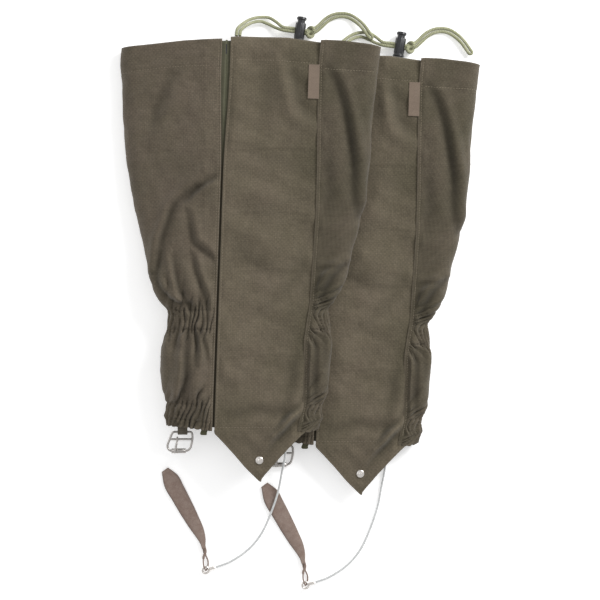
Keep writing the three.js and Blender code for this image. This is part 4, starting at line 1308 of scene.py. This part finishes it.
def rounded_loop(corners, z, radius, steps=7):
    """A closed path round the corners, each turned with the given radius."""
    points = []
    count = len(corners)
    for i in range(count):
        a, b, c = (np.array(corners[(i + k) % count], float) for k in (-1, 0, 1))
        u, v = (a - b) / np.linalg.norm(a - b), (c - b) / np.linalg.norm(c - b)
        r = min(radius, 0.45 * np.linalg.norm(a - b), 0.45 * np.linalg.norm(c - b))
        start, stop = b + u * r, b + v * r
        for t in np.linspace(0, 1, steps):
            q = (1 - t) ** 2 * start + 2 * t * (1 - t) * b + t ** 2 * stop
            points.append((q[0], q[1], z))
    return points


BUCKLE_TOP_Y, BAR_Y, ROLLER_Y = -179.6, -187.2, -199.2
BUCKLE_CORNERS = [(-80.6, BUCKLE_TOP_Y), (-86.4, -194.4), (-83.9, ROLLER_Y), (-64.8, ROLLER_Y),
                  (-61.9, -196.4), (-59.8, -187), (-60.3, BUCKLE_TOP_Y)]


def buckle_frame(side):
    """A bent wire frame with a bar across it for the prong."""
    path = firm(side, rounded_loop(BUCKLE_CORNERS, BUCKLE_Z, 2.6), BUCKLE_X)
    wire = sweep(f"{side}_buckle_wire", path, ring_section(1.2 * MM, 16), M["nickel"], closed=True)
    bar = firm(side, [(-83.0, BAR_Y, BUCKLE_Z), (-60.2, BAR_Y, BUCKLE_Z)], BUCKLE_X)
    bar = sweep("bar", curve_through(bar, 0.002), ring_section(1.15 * MM, 16), M["nickel"])
    join_objects(wire, bar)
    finish_piece(wire, f"{side}_buckle", "nickel", f"{side}_buckle_frame")


def buckle_roller(side):
    start = firm(side, [(-81.7, ROLLER_Y, BUCKLE_Z)], BUCKLE_X)[0]
    profile = [(1.4, 0), (2.3, 0), (2.6, 0.3), (2.6, 14.7), (2.3, 15), (1.4, 15), (1.4, 0)]
    roller = lathe(f"{side}_roller_tube", profile, start, (1, 0, 0), M["nickel"], 32)
    finish_piece(roller, f"{side}_roller", "nickel", f"{side}_buckle_roller")


def buckle_prong(side):
    """A pin whose eye wraps round the bar and whose tip rests on the roller."""
    eye = [(-75.6, BAR_Y + 2.1 * math.sin(t), BUCKLE_Z + 2.1 * math.cos(t))
           for t in np.linspace(-0.2, 4.9, 16)]
    shank = [(-75.9, -190.2, 5.9), (-76.6, -193.5, 6.6), (-77.4, -197.5, 7.2), (-78.1, -201.6, 7.5)]
    pin = curve_through(firm(side, eye[::-1] + shank, BUCKLE_X), 0.0005)

    def taper(i):
        share = i / (len(pin) - 1)
        radius = 0.9 + 0.3 * float(smooth(0.5, 0.62, share)) - 0.45 * float(smooth(0.86, 1.0, share))
        return ring_section(radius * MM, 12)
    prong = sweep(f"{side}_prong_pin", pin, taper, M["nickel"], up=(1, 0, 0))
    finish_piece(prong, f"{side}_prong", "nickel", f"{side}_buckle_prong")


def buckle_webbing(side):
    """The loop that holds the buckle: out of the hem, round the top wire, and back."""
    turn = [(BUCKLE_TOP_Y - 2.45 * math.sin(t), BUCKLE_Z + 2.45 * math.cos(t))
            for t in np.linspace(-0.35, math.pi + 0.35, 15)]
    loop = [(-164, BUCKLE_Z + 2.3), (-172, BUCKLE_Z + 2.4)] + turn
    loop += [(-172, BUCKLE_Z - 0.6), (-164, BUCKLE_Z + 0.4)]
    path = curve_through(firm(side, [(BUCKLE_X, y, z) for y, z in loop], BUCKLE_X), 0.0007)
    wide, thick = 5.0 * MM, 0.5 * MM
    section = [(-wide, -thick * 0.6), (-wide * 0.97, -thick), (wide * 0.97, -thick), (wide, -thick * 0.6),
               (wide, thick * 0.6), (wide * 0.97, thick), (-wide * 0.97, thick), (-wide, thick * 0.6)]
    strap = sweep(f"{side}_buckle_webbing", path, section, M["elastic"], up=(0, 1, 0.2))
    coordinates_as_cloth(strap)
    finish_piece(strap, f"{side}_gaiter", "elastic", f"{side}_buckle_loop")


def hook_and_rivet(side):
    x, y = RIVET
    start = firm(side, [(x, y, 18.15)], 0)[0]
    profile = [(0, -6.4), (2.6, -6.4), (2.6, -5.4), (1.4, -5.2), (1.4, -0.1), (4.1, -0.1), (4.3, 0.25),
               (4.1, 0.8), (3.5, 1.35), (2.6, 1.7), (2.2, 1.62), (1.7, 1.62), (1.3, 1.85), (0.7, 2.0),
               (0, 2.05)]
    rivet = lathe(f"{side}_rivet_head", profile, start, (0, 0, 1), M["bright"], 48)
    finish_piece(rivet, f"{side}_point", "nickel", f"{side}_hook_rivet")
    box_low, box_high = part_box(f"{side}_lace_hook")
    top, width = box_high.z - 0.0006, 0.0034
    cx = (box_low.x + box_high.x) / 2
    y0, y1 = box_low.y, box_high.y
    bend = [(y0, top), (y1 - 0.0016, top), (y1 - 0.0007, top - 0.0009), (y1 - 0.0006, top - 0.003),
            (y1 - 0.0016, top - 0.0044), (y1 - 0.007, top - 0.0046)]
    path = curve_through([(cx, y, z) for y, z in bend], 0.0005)
    thick = 0.00055
    section = [(-width, -thick), (width, -thick), (width, thick), (-width, thick)]
    hook = sweep(f"{side}_hook_plate", path, section, M["nickel"], up=(0, 1, 0.3))
    bevel(hook, 0.0003, 2)
    finish_piece(hook, f"{side}_point", "nickel", f"{side}_lace_hook")


def cord_lock(side):
    foot = Vector((*LOCK_FOOT, LOCK_Z))
    axis = Vector((*LOCK_TOP, LOCK_Z)) - foot
    length = axis.length
    axis.normalize()
    start = to_world(side, [tuple(foot)], lift=False)[0]
    profile = [(0, 0.1), (5.2, 0.1), (5.9, 0.5), (6.1, 1.2), (5.8, 1.9), (5.15, 2.6), (5.1, 3.4), (5.3, 4.2),
               (5.35, 12), (5.4, 19.2), (5.2, 19.8), (4.9, 20), (4.15, 20), (4.1, 19), (4.1, 1.7), (0, 1.6)]
    barrel = lathe(f"{side}_barrel", profile, start, axis, M["plastic"], 64)
    ridge_barrel(barrel, start, axis)
    slot_through(barrel, side, foot, axis, 11.4, 7.4)
    finish_piece(barrel, f"{side}_lock", "black_plastic", f"{side}_lock_barrel")
    profile = [(0, 6.4), (3.6, 6.4), (3.95, 6.8), (3.95, 23.2), (4.9, 23.3), (5.15, 23.5),
               (5.15, length - 1.0), (4.9, length - 0.3), (4.3, length), (2.6, length - 0.15),
               (0, length - 0.3)]
    plunger = lathe(f"{side}_plunger", profile, start, axis, M["plastic"], 48)
    slot_through(plunger, side, foot, axis, 12.9, 10.4)
    finish_piece(plunger, f"{side}_plunger", "black_plastic", f"{side}_lock_plunger")


def ridge_barrel(obj, start, axis):
    """Grip ribs along the barrel's middle."""
    start = Vector(start)
    for v in obj.data.vertices:
        along_axis = (v.co - start).dot(axis) * 1000
        spoke = (v.co - start) - axis * (v.co - start).dot(axis)
        if 3.3 < along_axis < 19.5 and spoke.length > 0.0048:
            angle = math.atan2(spoke.z, spoke.cross(axis).z)
            v.co += spoke.normalized() * 0.00016 * math.cos(16 * angle)


def slot_through(obj, side, foot, axis, middle, size):
    """Cuts the cross hole for the two strands."""
    across = axis.cross(Vector((0, 0, 1)))
    centre = foot + axis * middle
    corners = []
    for u in (-9, 9):
        for v in (-size / 2, size / 2):
            for w in (-1.9, 1.9):
                corners.append(tuple(centre + across * u + axis * v + Vector((0, 0, w))))
    faces = [(0, 1, 3, 2), (4, 6, 7, 5), (0, 4, 5, 1), (2, 3, 7, 6), (0, 2, 6, 4), (1, 5, 7, 3)]
    cutter = mesh_object("cutter", to_world(side, corners, lift=False), faces, M["plastic"], False)
    face_out(cutter)
    modifier = obj.modifiers.new("slot", "BOOLEAN")
    modifier.object, modifier.operation, modifier.solver = cutter, "DIFFERENCE", "EXACT"
    bpy.ops.object.select_all(action="DESELECT")
    bpy.context.view_layer.objects.active = obj
    obj.select_set(True)
    bpy.ops.object.modifier_apply(modifier="slot")
    bpy.data.objects.remove(cutter)
    bpy.ops.object.shade_smooth_by_angle(angle=math.radians(40))


def cable_anchor(side):
    """The crimped sleeve that holds the cable in the foot hem."""
    start = firm(side, [(38, -180, 5.4)], 38)[0]
    profile = [(0, 0), (1.25, 0), (1.9, 0.1), (2.4, 0.8), (2.45, 2), (2.1, 3), (2.45, 4), (2.45, 9.6),
               (1.9, 11), (0, 11)]
    anchor = lathe(f"{side}_anchor_sleeve", profile, start, (0, 1, 0), M["nickel"], 32)
    finish_piece(anchor, f"{side}_gaiter", "nickel", f"{side}_cable_anchor")


def carried_over_nodes(side):
    """The CAD nodes that stay as they are get this scene's materials."""
    for node, material in (("zip_slider", "nickel"), ("zip_top_box", "plastic"), ("lock_spring", "spring")):
        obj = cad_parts[f"{side}_{node}"]
        obj.data.materials.clear()
        obj.data.materials.append(M[material])
        if node != "lock_spring":
            bevel(obj, 0.0003, 2)


BLADE_LEFT = [(-93.2, -222.9), (-90, -238.7), (-81.6, -253.4), (-72.8, -268.4), (-64, -282), (-57, -291.6),
              (-52.6, -298.4), (-50.6, -304)]
BLADE_RIGHT = [(-86.7, -218.2), (-76.2, -226.4), (-70.6, -236.6), (-60.4, -257), (-54.6, -269.6),
               (-49.4, -282), (-47.2, -292.6), (-47.4, -303)]
THONG = [(-48.6, -300, 2.0), (-47.2, -306.5, 2.3), (-48.9, -311, 2.8), (-49.4, -316, 3.9),
         (-48.9, -320.4, 5.6), (-47.8, -323.4, 5.8), (-46.9, -325.6, 4.2), (-46.4, -325.8, 2.6),
         (-45.4, -324.2, 1.2), (-44.6, -321, 1.0), (-44.7, -316, 1.0), (-47, -310.5, 1.1),
         (-48.8, -306, 1.3), (-48.4, -299.5, 1.5)]
BLADE_ROWS, BLADE_COLUMNS = 56, 15


def even_points(line, count):
    """The curve through the line's (x, y) points, read at an even count of places."""
    path = curve_through([(a, b, 0) for a, b in line], 0.5)
    at = np.linspace(0, 1, count)
    return np.stack([np.interp(at, np.linspace(0, 1, len(path)), path[:, k]) for k in range(2)], axis=1)


def leather_blade(side):
    left, right = even_points(BLADE_LEFT, BLADE_ROWS), even_points(BLADE_RIGHT, BLADE_ROWS)
    u = np.linspace(0, 1, BLADE_COLUMNS)
    crown = 1 - (2 * u - 1) ** 6
    grid = []
    for i, share in enumerate(np.linspace(0, 1, BLADE_ROWS)):
        mid = left[i][None, :] * (1 - u[:, None]) + right[i][None, :] * u[:, None]
        curl = 0.5 * math.sin(i * 0.13) * (2 * u - 1) ** 2
        top = 1.55 + 0.75 * crown + 0.08 * np.sin(i * 0.5 + 3 * u)
        lift = 1.2 * max(0.0, share - 0.9) / 0.1
        upper = np.stack([mid[:, 0], mid[:, 1], top + curl + lift], axis=1)
        lower = np.stack([mid[:, 0], mid[:, 1], 0.35 + np.maximum(0, curl) + lift * 0.7], axis=1)
        grid.append(np.vstack([upper, lower[::-1]]))
    grid = np.array(grid)
    k = grid.shape[1]
    faces = grid_faces(BLADE_ROWS, k, closed=True) + end_caps(BLADE_ROWS, k)
    verts = to_world(side, grid.reshape(-1, 3), lift=False)
    blade = mesh_object(f"{side}_suede_strap", verts, faces, M["suede"])
    face_out(blade)
    rim = np.concatenate([np.abs(2 * u - 1) ** 10, np.ones(BLADE_COLUMNS)])
    number_attribute(blade, "edge", np.tile(rim, BLADE_ROWS))
    return blade


def leather_thong(side):
    path = curve_through(to_world(side, THONG, lift=False), 0.0007)
    around = np.linspace(0, 2 * math.pi, 12, endpoint=False)

    def strip(i):
        share = i / len(path)
        wide = 1.3 if share < 0.25 or share > 0.8 else 0.78  # narrower inside the ring
        x = wide * MM * np.sign(np.cos(around)) * np.abs(np.cos(around)) ** 0.6
        return np.stack([x, 0.7 * MM * np.sin(around)], axis=1)
    thong = sweep("thong", path, strip, M["suede"])
    number_attribute(thong, "edge", np.full(len(thong.data.vertices), 0.15))
    return thong


def leather(side):
    """The suede strap: a tapered blade whose neck ends in a thong that loops through the ring."""
    blade = join_objects(leather_blade(side), leather_thong(side))
    finish_piece(blade, f"{side}_strap", "leather", f"{side}_leather_strap")


for side in SIDES:
    calf, calf_flat, calf_area = calf_cloth(side)
    front, front_flat, front_area = front_cloth(side)
    on_calf, on_front = all_stitches(side, calf, front)
    trims(side)
    zip_parts(side)
    buckle_frame(side)
    buckle_roller(side)
    buckle_prong(side)
    buckle_webbing(side)
    hook_and_rivet(side)
    cord_lock(side)
    cable_anchor(side)
    carried_over_nodes(side)
    leather(side)


# ---------------------------------------------------------------- floor and light
def stage():
    n = Nodes("floor")
    patch = n.noise(n.place(), 3.0, 3.0)
    tint = n.mix(n.span(patch, 0.3, 0.7), (0.96, 0.96, 0.96, 1), (0.975, 0.975, 0.975, 1))
    n.set(Base_Color=tint, Roughness=0.9, Specular_IOR_Level=0.1, Emission_Color=(1, 1, 1, 1),
          Emission_Strength=0.34)
    low = -0.0006  # just under the lowest cloth
    corners = [(-4, -4, low), (4, -4, low), (4, 4, low), (-4, 4, low)]
    floor = mesh_object("floor", corners, [(0, 1, 2, 3)], n.material, False)
    world = bpy.data.worlds.new("world")
    bpy.context.scene.world = world
    world.use_nodes = True
    background = world.node_tree.nodes["Background"].inputs
    background["Color"].default_value = (1, 1, 1, 1)
    background["Strength"].default_value = 0.62
    lights = (("key", (1.15, 0.95, 0.85), 0.7, 27.5), ("fill", (-1.1, 0.3, 1.5), 1.4, 4.0))
    for name, place, size, power in lights:
        data = bpy.data.lights.new(name, "AREA")
        data.size, data.energy = size, power
        light = put_in_scene(name, data)
        light.location = place
        light.rotation_euler = (-Vector(place)).to_track_quat("-Z", "Y").to_euler()
    bpy.context.scene.view_settings.view_transform = "Standard"


stage()
bpy.context.view_layer.update()
